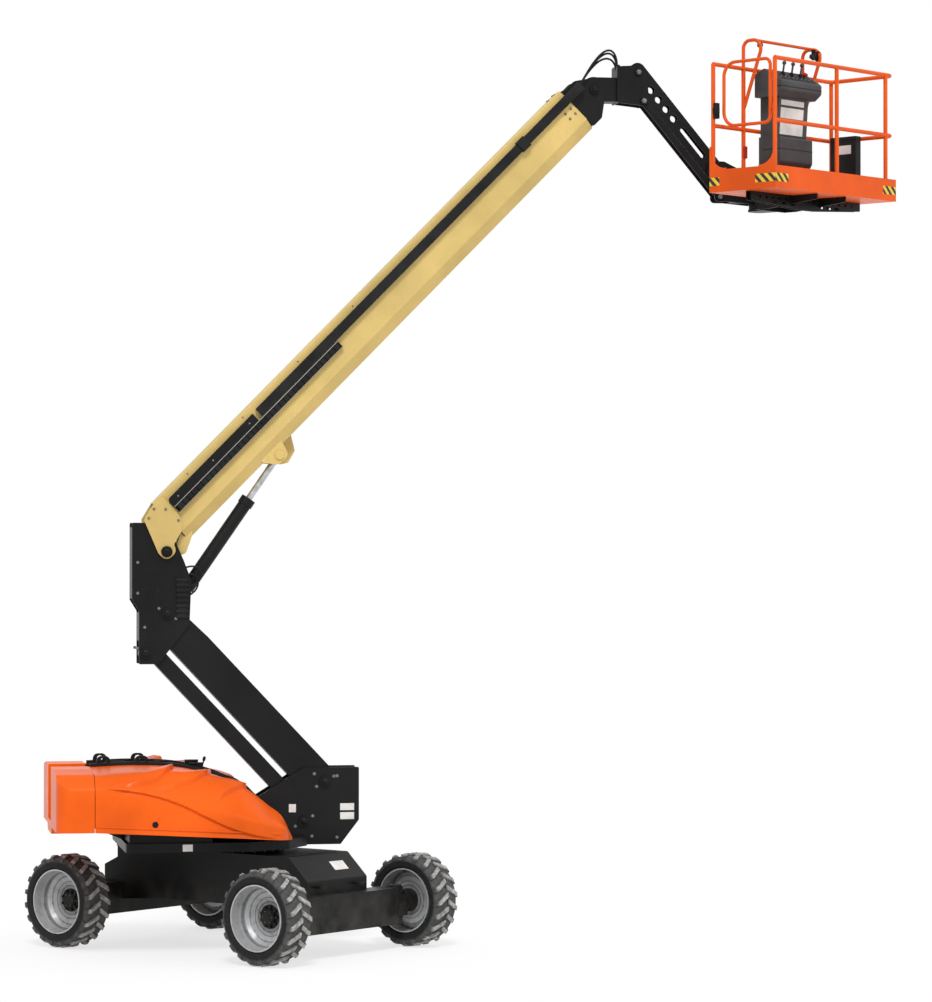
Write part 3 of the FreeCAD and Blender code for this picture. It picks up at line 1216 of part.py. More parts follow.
def main():
    """Write one STEP file for each node."""
    os.makedirs("parts", exist_ok=True)
    nodes = build_nodes()
    shift = origin_shift(nodes)
    for name, shape in nodes.items():
        shape.translate(shift)
        shape.exportStep(f"parts/{name}.step")
    print(len(nodes), "nodes, shifted by", [round(value, 3) for value in shift])


if __name__ == "__main__":
    main()
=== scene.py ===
"""Looks of an articulating boom lift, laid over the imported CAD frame.

Every length is in metres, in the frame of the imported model. Places come from the frame's
own boxes, joints and record, so that the pieces follow the model when it changes.
"""

import enum
import json
import logging
import math
from dataclasses import dataclass, field

import bmesh
import bpy
import numpy as np
from mathutils import Matrix, Vector


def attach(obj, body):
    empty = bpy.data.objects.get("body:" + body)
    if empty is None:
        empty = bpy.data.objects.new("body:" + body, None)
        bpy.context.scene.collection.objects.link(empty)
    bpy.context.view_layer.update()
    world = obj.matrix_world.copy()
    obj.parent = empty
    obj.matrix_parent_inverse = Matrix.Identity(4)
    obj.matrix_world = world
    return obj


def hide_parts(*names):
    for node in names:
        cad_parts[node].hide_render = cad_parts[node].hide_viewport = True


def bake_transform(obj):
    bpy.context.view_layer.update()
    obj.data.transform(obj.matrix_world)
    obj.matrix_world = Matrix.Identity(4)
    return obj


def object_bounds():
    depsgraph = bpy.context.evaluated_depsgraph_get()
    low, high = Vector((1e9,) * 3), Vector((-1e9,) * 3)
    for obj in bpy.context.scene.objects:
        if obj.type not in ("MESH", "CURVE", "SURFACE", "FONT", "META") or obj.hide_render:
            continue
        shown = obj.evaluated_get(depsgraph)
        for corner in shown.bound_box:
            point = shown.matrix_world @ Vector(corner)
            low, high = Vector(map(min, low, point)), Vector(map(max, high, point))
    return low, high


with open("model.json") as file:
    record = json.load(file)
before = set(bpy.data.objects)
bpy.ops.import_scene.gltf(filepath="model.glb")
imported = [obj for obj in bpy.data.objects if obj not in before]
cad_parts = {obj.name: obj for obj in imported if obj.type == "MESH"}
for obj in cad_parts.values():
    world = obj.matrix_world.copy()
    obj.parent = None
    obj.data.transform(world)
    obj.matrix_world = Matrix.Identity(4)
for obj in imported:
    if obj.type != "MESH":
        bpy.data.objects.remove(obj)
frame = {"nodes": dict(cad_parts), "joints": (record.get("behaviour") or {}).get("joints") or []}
CAD_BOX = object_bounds()

logging.basicConfig(level=logging.INFO, format="%(message)s")
LOG = logging.getLogger("boom_lift")

Solid = tuple[np.ndarray, np.ndarray]    # vertices and faces

WELD = 4e-5                  # points nearer than this are one
SHARP = 38.0                 # edges that turn by more degrees than this shade sharp
CHASSIS_YAW = -48.0          # chassis under the turntable
PLATFORM_YAW = 37.5          # long side of the platform


# ------------------------------------------------------------------ shader sockets
class Socket:
    """A shader output whose operators add Math nodes."""

    def __init__(self, tree: bpy.types.NodeTree, output: bpy.types.NodeSocket) -> None:
        """Wrap one output of a tree."""
        self.tree = tree
        self.output = output

    def _math(self, operation: str, *values: "Socket | float", clamp: bool = False) -> "Socket":
        """Add a Math node on the values.

        Args:
            operation: the Math node's operation.
            values: its inputs, in order.
            clamp: whether the result is held between 0 and 1.

        Returns:
            The node's result.
        """
        node = self.tree.nodes.new("ShaderNodeMath")
        node.operation = operation
        node.use_clamp = clamp
        for index, value in enumerate(values):
            if isinstance(value, Socket):
                self.tree.links.new(value.output, node.inputs[index])
            else:
                node.inputs[index].default_value = float(value)
        return Socket(self.tree, node.outputs[0])

    def __add__(self, other: "Socket | float") -> "Socket":
        """Sum."""
        return self._math("ADD", self, other)

    __radd__ = __add__

    def __sub__(self, other: "Socket | float") -> "Socket":
        """Difference."""
        return self._math("SUBTRACT", self, other)

    def __rsub__(self, other: "Socket | float") -> "Socket":
        """Difference from a number."""
        return self._math("SUBTRACT", other, self)

    def __mul__(self, other: "Socket | float") -> "Socket":
        """Product."""
        return self._math("MULTIPLY", self, other)

    __rmul__ = __mul__

    def __truediv__(self, other: "Socket | float") -> "Socket":
        """Quotient."""
        return self._math("DIVIDE", self, other)

    def __gt__(self, other: "Socket | float") -> "Socket":
        """1 where greater."""
        return self._math("GREATER_THAN", self, other)

    def __lt__(self, other: "Socket | float") -> "Socket":
        """1 where less."""
        return self._math("LESS_THAN", self, other)

    def fract(self) -> "Socket":
        """Fractional part."""
        return self._math("FRACT", self)

    def clamped(self) -> "Socket":
        """Held between 0 and 1."""
        return self._math("ADD", self, 0.0, clamp=True)

    def ramp(self, low: float, high: float) -> "Socket":
        """Rise from 0 at low to 1 at high, held beyond."""
        return self._math("MULTIPLY", self - low, 1.0 / (high - low), clamp=True)


class Shader:
    """One material's node tree with its Principled shader."""

    def __init__(self, name: str) -> None:
        """Start a material.

        Args:
            name: the material's name.
        """
        self.material = bpy.data.materials.new(name)
        self.material.use_nodes = True
        self.tree = self.material.node_tree
        self.surface = self.tree.nodes["Principled BSDF"]
        coordinates = self.tree.nodes.new("ShaderNodeTexCoord")
        self.place = Socket(self.tree, coordinates.outputs["Object"])

    def node(self, kind: str, settings: dict | None = None, **inputs: object) -> bpy.types.Node:
        """Add a node.

        Args:
            kind: the node's type.
            settings: attributes that are set before its inputs.
            inputs: values or sockets by input name, spaces written as underscores.

        Returns:
            The node.
        """
        node = self.tree.nodes.new(kind)
        for key, value in (settings or {}).items():
            setattr(node, key, value)
        for key, value in inputs.items():
            socket = node.inputs[key.replace("_", " ")]
            if isinstance(value, Socket):
                self.tree.links.new(value.output, socket)
            else:
                socket.default_value = value
        return node

    def radius(self, centre: tuple, axis: tuple) -> Socket:
        """Distance from an axis: the length of the offset's cross product with the unit axis.

        Args:
            centre: a point on the axis.
            axis: its direction, of length 1.

        Returns:
            The distance.
        """
        offset = self.vector("SUBTRACT", self.place, centre)
        square = self.vector("CROSS_PRODUCT", offset, axis)
        return self.vector("LENGTH", square, (0, 0, 0))

    def noise(self, scale: float, detail: float = 3.0, vector: Socket | None = None) -> Socket:
        """Noise from 0 to 1 over the surface."""
        node = self.node("ShaderNodeTexNoise", Vector=vector or self.place, Scale=scale, Detail=detail)
        return Socket(self.tree, node.outputs["Fac"])

    def axes(self, vector: Socket | None = None) -> tuple[Socket, Socket, Socket]:
        """The three coordinates of a vector."""
        node = self.node("ShaderNodeSeparateXYZ", Vector=vector or self.place)
        return tuple(Socket(self.tree, out) for out in node.outputs)

    def vector(self, operation: str, first: Socket, second: tuple | Socket) -> Socket:
        """Vector Math on two vectors.

        Args:
            operation: the node's operation.
            first: the first vector.
            second: the second, as a socket or numbers.

        Returns:
            The vector, or the number where the operation gives one.
        """
        node = self.tree.nodes.new("ShaderNodeVectorMath")
        node.operation = operation
        self.tree.links.new(first.output, node.inputs[0])
        if isinstance(second, Socket):
            self.tree.links.new(second.output, node.inputs[1])
        else:
            node.inputs[1].default_value = second
        out = "Value" if operation in ("DOT_PRODUCT", "LENGTH", "DISTANCE") else "Vector"
        return Socket(self.tree, node.outputs[out])

    def mix(self, mask: Socket | float, low: object, high: object) -> Socket:
        """Colour mix.

        Args:
            mask: from 0 to 1.
            low: the colour where it is 0.
            high: the colour where it is 1.

        Returns:
            The mixed colour.
        """
        node = self.tree.nodes.new("ShaderNodeMix")
        node.data_type = "RGBA"
        for socket, value in ((node.inputs["Factor"], mask), (node.inputs[6], low), (node.inputs[7], high)):
            if isinstance(value, Socket):
                self.tree.links.new(value.output, socket)
            elif isinstance(value, (int, float)):
                socket.default_value = float(value)
            else:
                socket.default_value = (*value, 1.0)
        return Socket(self.tree, node.outputs[2])

    def bump(self, height: Socket, distance: float, strength: float = 0.6) -> None:
        """Feed a height into the surface's normal."""
        node = self.node("ShaderNodeBump", Height=height, Distance=distance, Strength=strength)
        self.tree.links.new(node.outputs[0], self.surface.inputs["Normal"])

    def feed(self, **inputs: object) -> None:
        """Set the Principled shader's inputs, spaces written as underscores."""
        for key, value in inputs.items():
            socket = self.surface.inputs[key.replace("_", " ")]
            if isinstance(value, Socket):
                self.tree.links.new(value.output, socket)
            elif isinstance(value, tuple):
                socket.default_value = (*value, 1.0)
            else:
                socket.default_value = value


def linear(red: int, green: int, blue: int) -> tuple[float, float, float]:
    """Linear colour from 0 to 255 display values."""
    values = np.array([red, green, blue]) / 255.0
    return tuple(np.where(values <= 0.04045, values / 12.92, ((values + 0.055) / 1.055) ** 2.4).tolist())


# ------------------------------------------------------------------ finishes
@dataclass(frozen=True)
class PaintFinish:
    """Sprayed paint over steel or a moulded panel, with fine peel and light dust.

    Attributes:
        name: the material's name.
        colour: the paint, linear.
        roughness: the middle of its roughness.
        coat: clear coat weight.
        dust: how much pale dust lies low on the part.
        dust_top: height at which the dust has gone.
        peel: depth of the paint's peel, metres.
        shine: the paint's specular level.
    """

    name: str
    colour: tuple[float, float, float]
    roughness: float = 0.36
    coat: float = 0.25
    dust: float = 0.0
    dust_top: float = 0.9
    peel: float = 0.0004
    shine: float = 0.25

    def build(self) -> bpy.types.Material:
        """Make the material.

        Returns:
            The material.
        """
        shader = Shader(self.name)
        broad = shader.noise(1.7, 4.0)
        fine = shader.noise(38.0, 3.0)
        darker = tuple(c * 0.82 for c in self.colour)
        lighter = tuple(min(1.0, c * 1.10 + 0.004) for c in self.colour)
        tone = shader.mix(broad.ramp(0.3, 0.7), darker, lighter)
        scuff = (shader.noise(9.0, 6.0) * fine).ramp(0.34, 0.46) * 0.35
        worn = tuple(c * 0.75 + 0.012 for c in self.colour)
        tone = shader.mix(scuff, tone, worn)
        height = shader.axes()[2]
        low = 1.0 - height.ramp(0.0, self.dust_top)
        dust = (low * shader.noise(6.0, 5.0).ramp(0.35, 0.75) * self.dust).clamped()
        tone = shader.mix(dust, tone, linear(150, 143, 132))
        shader.feed(Base_Color=tone, Roughness=(fine * 0.16 + (self.roughness - 0.08) + dust * 0.3).clamped(),
                    Coat_Roughness=0.12, Coat_Weight=self.coat, Specular_IOR_Level=self.shine)
        shader.bump(shader.noise(420.0, 2.0) * 0.6 + broad * 0.4, self.peel, 0.35)
        return shader.material


@dataclass(frozen=True)
class TyreFinish:
    """Rubber with a scrubbed grey tread over a black sidewall, about one wheel.

    Attributes:
        name: the material's name.
        centre: the wheel's centre.
        axis: the wheel's spin axis.
        band: radius where the sidewall turns into tread.
        groove: radius of the grooves' floors between the lugs.
    """

    name: str
    centre: tuple[float, float, float]
    axis: tuple[float, float, float]
    band: float
    groove: float = 0.396

    def build(self) -> bpy.types.Material:
        """Make the material; what shows depends on the radius from the wheel's axis.

        Returns:
            The material.
        """
        shader = Shader(self.name)
        radius = shader.radius(self.centre, self.axis)
        grain = shader.noise(30.0, 6.0)
        patch = shader.noise(7.0, 4.0)
        tread = shader.mix(grain.ramp(0.3, 0.72), linear(118, 117, 116), linear(182, 181, 180))
        tread = shader.mix(patch.ramp(0.55, 0.85) * 0.25, tread, linear(104, 104, 103))
        floor = 1.0 - (radius + (grain - 0.5) * 0.006).ramp(self.groove - 0.006, self.groove + 0.006)
        tread = shader.mix(floor * 0.85, tread, linear(44, 44, 44))
        side = shader.mix(grain.ramp(0.3, 0.8), linear(14, 14, 14), linear(34, 34, 34))
        worn = (radius + (patch - 0.5) * 0.02).ramp(self.band - 0.012, self.band + 0.010)
        rings = ((radius * 62.0).fract() < 0.14) * (radius < self.band)
        shader.feed(Base_Color=shader.mix(worn, side, tread), Roughness=grain * 0.15 + 0.72,
                    Specular_IOR_Level=0.3)
        shader.bump(rings * 0.8 + grain * 0.6 + shader.noise(160.0, 3.0) * 0.4, 0.0022, 0.7)
        return shader.material


@dataclass(frozen=True)
class WheelFinish:
    """Satin silver paint on a wheel disc, with painted shade in its bowl and pressed rings, and random dirt.

    Attributes:
        name: the material's name.
        centre: the wheel's centre.
        axis: the wheel's spin axis.
        tones: the dark paint of the painted shade and dirt, and the clean paint.
        steps: radii of the pressed rings.
        line: half width of a ring.
    """

    name: str
    centre: tuple[float, float, float]
    axis: tuple[float, float, float]
    tones: tuple[tuple[float, float, float], tuple[float, float, float]]
    steps: tuple[float, ...] = (0.128, 0.165, 0.212, 0.250)
    line: float = 0.0045

    def build(self) -> bpy.types.Material:
        """Make the material; painted shade darkens it near the hub and in the pressed rings, and dirt where
        noise is high.

        Returns:
            The material.
        """
        shader = Shader(self.name)
        radius = shader.radius(self.centre, self.axis)
        grain = shader.noise(24.0, 5.0)
        # painted shade: darker towards the hub's bowl, plus random dirt where the noise is high
        bowl_shade_and_grime = ((1.0 - radius.ramp(0.1, 0.2)) * 0.5 + grain.ramp(0.5, 0.8) * 0.35).clamped()
        # painted shade in the pressed rings
        lines = (radius > self.steps[0] - self.line) * (radius < self.steps[0] + self.line)
        for place in self.steps[1:]:
            lines = (lines + (radius > place - self.line) * (radius < place + self.line)).clamped()
        tone = shader.mix((bowl_shade_and_grime + lines * 0.5).clamped(), self.tones[1], self.tones[0])
        shader.feed(Base_Color=tone, Metallic=0.35, Roughness=grain * 0.2 + 0.36)
        shader.bump(shader.noise(300.0, 2.0), 0.0004, 0.4)
        return shader.material


@dataclass(frozen=True)
class ChromeFinish:
    """Polished rod with faint draw marks and an oily film.

    Attributes:
        name: the material's name.
    """

    name: str = "polished_rod"

    def build(self) -> bpy.types.Material:
        """Make the material.

        Returns:
            The material.
        """
        shader = Shader(self.name)
        film = shader.noise(16.0, 4.0)
        shader.feed(Base_Color=shader.mix(film.ramp(0.4, 0.8), linear(205, 206, 208), linear(150, 150, 150)),
                    Metallic=1.0, Roughness=film * 0.2 + 0.14)
        shader.bump(shader.noise(700.0, 2.0), 0.0001, 0.3)
        return shader.material


@dataclass(frozen=True)
class BoltFinish:
    """Dull zinc plating with darker stains.

    Attributes:
        name: the material's name.
    """

    name: str = "dull_zinc"

    def build(self) -> bpy.types.Material:
        """Make the material.

        Returns:
            The material.
        """
        shader = Shader(self.name)
        stain = shader.noise(90.0, 5.0)
        shader.feed(Base_Color=shader.mix(stain.ramp(0.35, 0.7), linear(96, 94, 90), linear(150, 148, 142)),
                    Metallic=0.7, Roughness=stain * 0.25 + 0.35)
        shader.bump(stain, 0.0002, 0.4)
        return shader.material


@dataclass(frozen=True)
class PlasticFinish:
    """Moulded plastic with a fine spark-eroded grain.

    Attributes:
        name: the material's name.
        colour: the plastic, linear.
        roughness: the middle of its roughness.
        grain: depth of its grain, metres.
    """

    name: str
    colour: tuple[float, float, float]
    roughness: float = 0.55
    grain: float = 0.0006

    def build(self) -> bpy.types.Material:
        """Make the material.

        Returns:
            The material.
        """
        shader = Shader(self.name)
        cloud = shader.noise(5.0, 4.0)
        dark = tuple(c * 0.8 for c in self.colour)
        pale = tuple(min(1.0, c * 1.15 + 0.01) for c in self.colour)
        shader.feed(Base_Color=shader.mix(cloud.ramp(0.3, 0.7), dark, pale),
                    Roughness=cloud * 0.15 + (self.roughness - 0.07), Specular_IOR_Level=0.2)
        shader.bump(shader.noise(520.0, 3.0), self.grain, 0.5)
        return shader.material


@dataclass(frozen=True)
class HazardFinish:
    """Yellow and black slanted warning bands.

    Attributes:
        name: the material's name.
        along: direction in which the bands follow each other.
        pitch: length of one yellow and one black band.
    """

    name: str
    along: tuple[float, float, float]
    pitch: float = 0.075

    def build(self) -> bpy.types.Material:
        """Make the material; a band's phase is the run along plus the height.

        Returns:
            The material.
        """
        shader = Shader(self.name)
        run = shader.vector("DOT_PRODUCT", shader.place, self.along)
        height = shader.axes()[2]
        phase = ((run + height) / self.pitch).fract()
        fine = shader.noise(60.0, 4.0)
        yellow = shader.mix(fine.ramp(0.3, 0.8), linear(214, 178, 34), linear(240, 205, 62))
        black = shader.mix(fine.ramp(0.3, 0.8), linear(20, 20, 20), linear(42, 41, 40))
        shader.feed(Base_Color=shader.mix(phase < 0.5, yellow, black), Roughness=fine * 0.2 + 0.35)
        shader.bump(fine, 0.0003, 0.3)
        return shader.material


@dataclass(frozen=True)
class FloorFinish:
    """Plain pale floor that shows white to the camera beyond the shadow.

    Attributes:
        name: the material's name.
        near: radius to which the white is weakest.
        far: radius from which it is whole.
        least: share of white under the part.
    """

    name: str = "pale_floor"
    near: float = 1.6
    far: float = 4.6
    least: float = 0.7

    def build(self) -> bpy.types.Material:
        """Make the material: white paint, blended to plain white for camera and mirror rays.

        The blend is partial by the wheels, where the shadow stays, and whole from the far
        radius on; the radius is the length of the place's level part from the chassis.

        Returns:
            The material.
        """
        shader = Shader(self.name)
        cloud = shader.noise(3.0, 3.0)
        shader.feed(Base_Color=shader.mix(cloud, linear(248, 248, 248), linear(252, 252, 252)), Roughness=0.9)
        middle = tuple(joint_named("swing")["pos_m"][:2]) + (0.0,)
        offset = shader.vector("SUBTRACT", shader.place, middle)
        radius = shader.vector("LENGTH", shader.vector("MULTIPLY", offset, (1.0, 1.0, 0.0)), (0, 0, 0))
        blend = radius.ramp(self.near, self.far) * (1.0 - self.least) + self.least
        path = shader.node("ShaderNodeLightPath")
        seen = Socket(shader.tree, path.outputs["Is Camera Ray"])
        for ray in ("Is Glossy Ray", "Is Transmission Ray"):
            seen = (seen + Socket(shader.tree, path.outputs[ray])).clamped()
        white = shader.node("ShaderNodeEmission", Strength=1.0)
        mix = shader.node("ShaderNodeMixShader", Fac=blend * seen)
        shader.tree.links.new(shader.surface.outputs[0], mix.inputs[1])
        shader.tree.links.new(white.outputs[0], mix.inputs[2])
        shader.tree.links.new(mix.outputs[0], shader.tree.nodes["Material Output"].inputs["Surface"])
        return shader.material


# ------------------------------------------------------------------ surfaces
def mesh_from_arrays(name: str, points: np.ndarray, faces: np.ndarray) -> bpy.types.Object:
    """Object from vertex rows and quad rows.

    Args:
        name: the object's name.
        points: (n, 3) vertices.
        faces: (m, 4) or (m, 3) vertex indices.

    Returns:
        The linked object, at the origin.
    """
    mesh = bpy.data.meshes.new(name)
    sides = faces.shape[1]
    mesh.vertices.add(len(points))
    mesh.vertices.foreach_set("co", points.astype(np.float32).ravel())
    mesh.loops.add(faces.size)
    mesh.loops.foreach_set("vertex_index", faces.astype(np.int32).ravel())
    mesh.polygons.add(len(faces))
    mesh.polygons.foreach_set("loop_start", np.arange(0, faces.size, sides, dtype=np.int32))
    mesh.update(calc_edges=True)
    weld = bmesh.new()
    weld.from_mesh(mesh)
    bmesh.ops.remove_doubles(weld, verts=weld.verts, dist=WELD)
    bmesh.ops.recalc_face_normals(weld, faces=weld.faces)
    weld.to_mesh(mesh)
    weld.free()
    mesh.shade_smooth()
    mesh.set_sharp_from_angle(angle=math.radians(SHARP))
    obj = bpy.data.objects.new(name, mesh)
    bpy.context.scene.collection.objects.link(obj)
    return obj


def grid_faces(rows: int, columns: int, wrap_rows: bool, wrap_columns: bool) -> np.ndarray:
    """Quads between neighbouring points of a rows by columns grid, joined round where wrapped.

    Args:
        rows: rows of points.
        columns: points in a row.
        wrap_rows: whether the last row meets the first.
        wrap_columns: whether a row's last point meets its first.

    Returns:
        (m, 4) point numbers.
    """
    r = np.arange(rows if wrap_rows else rows - 1)[:, None]
    c = np.arange(columns if wrap_columns else columns - 1)[None, :]
    r2 = (r + 1) % rows
    c2 = (c + 1) % columns
    quads = [r * columns + c, r * columns + c2, r2 * columns + c2, r2 * columns + c]
    return np.stack(quads, -1).reshape(-1, 4)


def frames_of(axis: np.ndarray) -> tuple[np.ndarray, np.ndarray, np.ndarray]:
    """A unit axis with two unit directions square to it and each other.

    Args:
        axis: the axis, of any length.

    Returns:
        The axis and the two directions.
    """
    axis = np.asarray(axis, float)
    axis = axis / np.linalg.norm(axis)
    helper = np.array([0.0, 0.0, 1.0]) if abs(axis[2]) < 0.9 else np.array([1.0, 0.0, 0.0])
    first = np.cross(helper, axis)
    first /= np.linalg.norm(first)
    return axis, first, np.cross(axis, first)


def revolved(centre: np.ndarray, axis: np.ndarray, profile: np.ndarray, count: int) -> Solid:
    """Closed solid of revolution.

    A point is the centre plus its distance along the axis, plus its radius times the cosine of
    its angle along one square direction and the sine along the other. The profile's ends
    lie on the axis.

    Args:
        centre: where the axis starts.
        axis: its direction.
        profile: (n, 2) rows of distance along the axis and radius.
        count: points round the axis.

    Returns:
        Vertices and quads.
    """
    axis, first, second = frames_of(axis)
    angle = np.linspace(0.0, 2.0 * np.pi, count, endpoint=False)
    ring = np.cos(angle)[:, None] * first + np.sin(angle)[:, None] * second
    points = centre + profile[:, None, :1] * axis + profile[:, None, 1:] * ring[None]
    return points.reshape(-1, 3), grid_faces(len(profile), count, False, True)


def lofted(rings: np.ndarray) -> Solid:
    """Closed skin over rings of points, each end drawn together at its ring's middle.

    Args:
        rings: (n, m, 3) rows of ring points, in order along the piece.

    Returns:
        Vertices and quads.
    """
    ends = [np.repeat(rings[i].mean(0)[None], rings.shape[1], 0)[None] for i in (0, -1)]
    points = np.concatenate([ends[0], rings, ends[1]])
    return points.reshape(-1, 3), grid_faces(len(points), rings.shape[1], False, True)


def extruded(outline: np.ndarray, depth: np.ndarray) -> Solid:
    """Flat outline carried along a vector: a point is an outline point plus none or all of it."""
    outline = np.asarray(outline, float)
    return lofted(np.stack([outline, outline + np.asarray(depth, float)]))


def strip(path: np.ndarray, across: np.ndarray, up: np.ndarray) -> Solid:
    """Bar of rectangular section along a path.

    Each ring is the path's point plus half the width to either side, plus none or all of the
    height.

    Args:
        path: (n, 3) points along the bar's foot.
        across: the bar's width as a vector.
        up: its height as a vector.

    Returns:
        Vertices and quads.
    """
    path, across, up = (np.asarray(a, float) for a in (path, across, up))
    corners = np.stack([-across / 2, across / 2, across / 2 + up, -across / 2 + up])
    return lofted(path[:, None, :] + corners[None])


def joined(parts: list[Solid]) -> Solid:
    """Vertices and faces of several parts as one."""
    starts = np.cumsum([0] + [len(p) for p, _ in parts[:-1]])
    return np.concatenate([p for p, _ in parts]), np.concatenate([f + s for (_, f), s in zip(parts, starts)])


def circle(count: int, radius: float, height: float) -> np.ndarray:
    """Places evenly round the third axis: radius times cosine and sine of even angles, and the height.

    Args:
        count: how many.
        radius: their distance from the axis.
        height: their place along it.

    Returns:
        (count, 3) places.
    """
    angle = np.arange(count) * 2.0 * np.pi / count
    return np.column_stack([radius * np.cos(angle), radius * np.sin(angle), np.full(count, height)])


def hex_bolt(radius: float, height: float) -> np.ndarray:
    """Profile of a bolt head with its washer, along its axis."""
    return np.array([[0.0, 0.0], [0.0, radius * 1.35], [height * 0.18, radius * 1.35],
                     [height * 0.2, radius], [height * 0.85, radius], [height, radius * 0.82], [height, 0.0]])


def block(low: np.ndarray, high: np.ndarray, turn: np.ndarray | None = None,
          at: np.ndarray | None = None) -> Solid:
    """Box between two corners, turned and moved.

    Each vertex is the low corner plus none or all of the size along every axis.

    Args:
        low: its low corner.
        high: its high corner.
        turn: matrix that turns it, none to leave it.
        at: point that it moves to, none to leave it.

    Returns:
        Vertices and quads.
    """
    signs = np.array([[x, y, z] for x in (0, 1) for y in (0, 1) for z in (0, 1)], float)
    points = np.asarray(low) + signs * (np.asarray(high) - np.asarray(low))
    if turn is not None:
        points = points @ turn.T
    if at is not None:
        points = points + at
    faces = np.array([[0, 1, 3, 2], [4, 6, 7, 5], [0, 4, 5, 1], [2, 3, 7, 6], [0, 2, 6, 4], [1, 5, 7, 3]])
    return points, faces


def softened(obj: bpy.types.Object, width: float, segments: int = 2) -> bpy.types.Object:
    """Bevel an object's edges.

    Args:
        obj: the object.
        width: the bevel's width.
        segments: faces across it.

    Returns:
        The object.
    """
    bevel = obj.modifiers.new("edge", "BEVEL")
    bevel.width = width
    bevel.segments = segments
    bevel.limit_method = "ANGLE"
    return obj


def dressed(obj: bpy.types.Object, material: bpy.types.Material, body: str, slot: str) -> bpy.types.Object:
    """Give a new piece its material and its body.

    Args:
        obj: the piece.
        material: its finish.
        body: the body it moves with, none for a piece that is left on no body.
        slot: the record's material slot; not used.

    Returns:
        The piece.
    """
    obj.data.materials.clear()
    obj.data.materials.append(material)
    if body:
        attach(obj, body)
    LOG.info("piece %s on %s", obj.name, body or "two bodies")
    return obj


def turn_about_z(degrees: float) -> np.ndarray:
    """Matrix of a turn about the vertical."""
    c, s = math.cos(math.radians(degrees)), math.sin(math.radians(degrees))
    return np.array([[c, -s, 0.0], [s, c, 0.0], [0.0, 0.0, 1.0]])


def joint_named(name: str) -> dict:
    """A joint of the record."""
    return next(joint for joint in frame["joints"] if joint["name"] == name)


# ------------------------------------------------------------------ benches
@dataclass(frozen=True)
class Bench:
    """Axes of one arm or body, in which its pieces are measured.

    Attributes:
        origin: where its measures start.
        turn: matrix whose columns are its directions.
    """

    origin: np.ndarray
    turn: np.ndarray

    def at(self, places: object) -> np.ndarray:
        """Points of the frame from points of the bench: the origin plus the turned point."""
        return self.origin + np.asarray(places, float) @ self.turn.T

    def way(self, direction: object) -> np.ndarray:
        """Direction of the frame from one of the bench."""
        return np.asarray(direction, float) @ self.turn.T

    def block(self, low: tuple, high: tuple) -> Solid:
        """Box between two corners of the bench."""
        return block(low, high, self.turn, self.origin)

    def plate(self, outline: object, depth: tuple) -> Solid:
        """Flat outline given depth along a vector."""
        return extruded(self.at(outline), self.way(depth))

    def turned(self, centre: tuple, axis: tuple, profile: object, count: int = 32) -> Solid:
        """Solid of revolution about an axis of the bench."""
        return revolved(self.at(centre), self.way(axis), np.array(profile, float), count)

    def bolts(self, places: object, axis: tuple, radius: float, height: float) -> list[tuple]:
        """Washered hexagon heads at several places."""
        return [self.turned(place, axis, hex_bolt(radius, height), 6) for place in places]


def level_bench(joint: str, degrees: float = 0.0, floor: bool = False) -> Bench:
    """Upright bench at a joint.

    Args:
        joint: the joint's name.
        degrees: turn about the vertical.
        floor: whether heights count from the ground and not from the joint.

    Returns:
        The bench.
    """
    origin = np.array(joint_named(joint)["pos_m"], float)
    if floor:
        origin[2] = 0.0
    return Bench(origin, turn_about_z(degrees))


def raised_bench(joint: str, along: object) -> Bench:
    """Bench at a joint whose first axis lies along a direction in the boom's plane.

    Args:
        joint: the joint's name.
        along: the direction.

    Returns:
        The bench.
    """
    first = np.asarray(along, float) / np.linalg.norm(along)
    second = np.array([0.0, 1.0, 0.0])
    turn = np.column_stack([first, second, np.cross(first, second)])
    return Bench(np.array(joint_named(joint)["pos_m"], float), turn)


# ------------------------------------------------------------------ palette
class Finish(enum.Enum):
    """The finishes that the CAD pieces and the added pieces share."""

    ORANGE = "body_orange_paint"
    PLATFORM = "platform_orange_paint"
    CREAM = "boom_cream_paint"
    BLACK = "frame_black_paint"
    EDGE_HIGHLIGHT = "edge_highlight_grey_paint"
    DARK = "dark_plastic"
    CONSOLE = "console_grey_plastic"
    CHROME = "polished_rod"
    PLATE = "blank_white_plate"
    RED = "red_plastic"
    BOLT = "dull_zinc"


SLOTS = {
    Finish.ORANGE: "body_orange", Finish.PLATFORM: "platform_orange", Finish.CREAM: "boom_cream",
    Finish.BLACK: "frame_black", Finish.EDGE_HIGHLIGHT: "tray_grey", Finish.DARK: "pad_plastic",
    Finish.CONSOLE: "console_grey", Finish.CHROME: "rod_chrome", Finish.PLATE: "console_grey",
    Finish.RED: "pad_plastic", Finish.BOLT: "rim_silver",
}


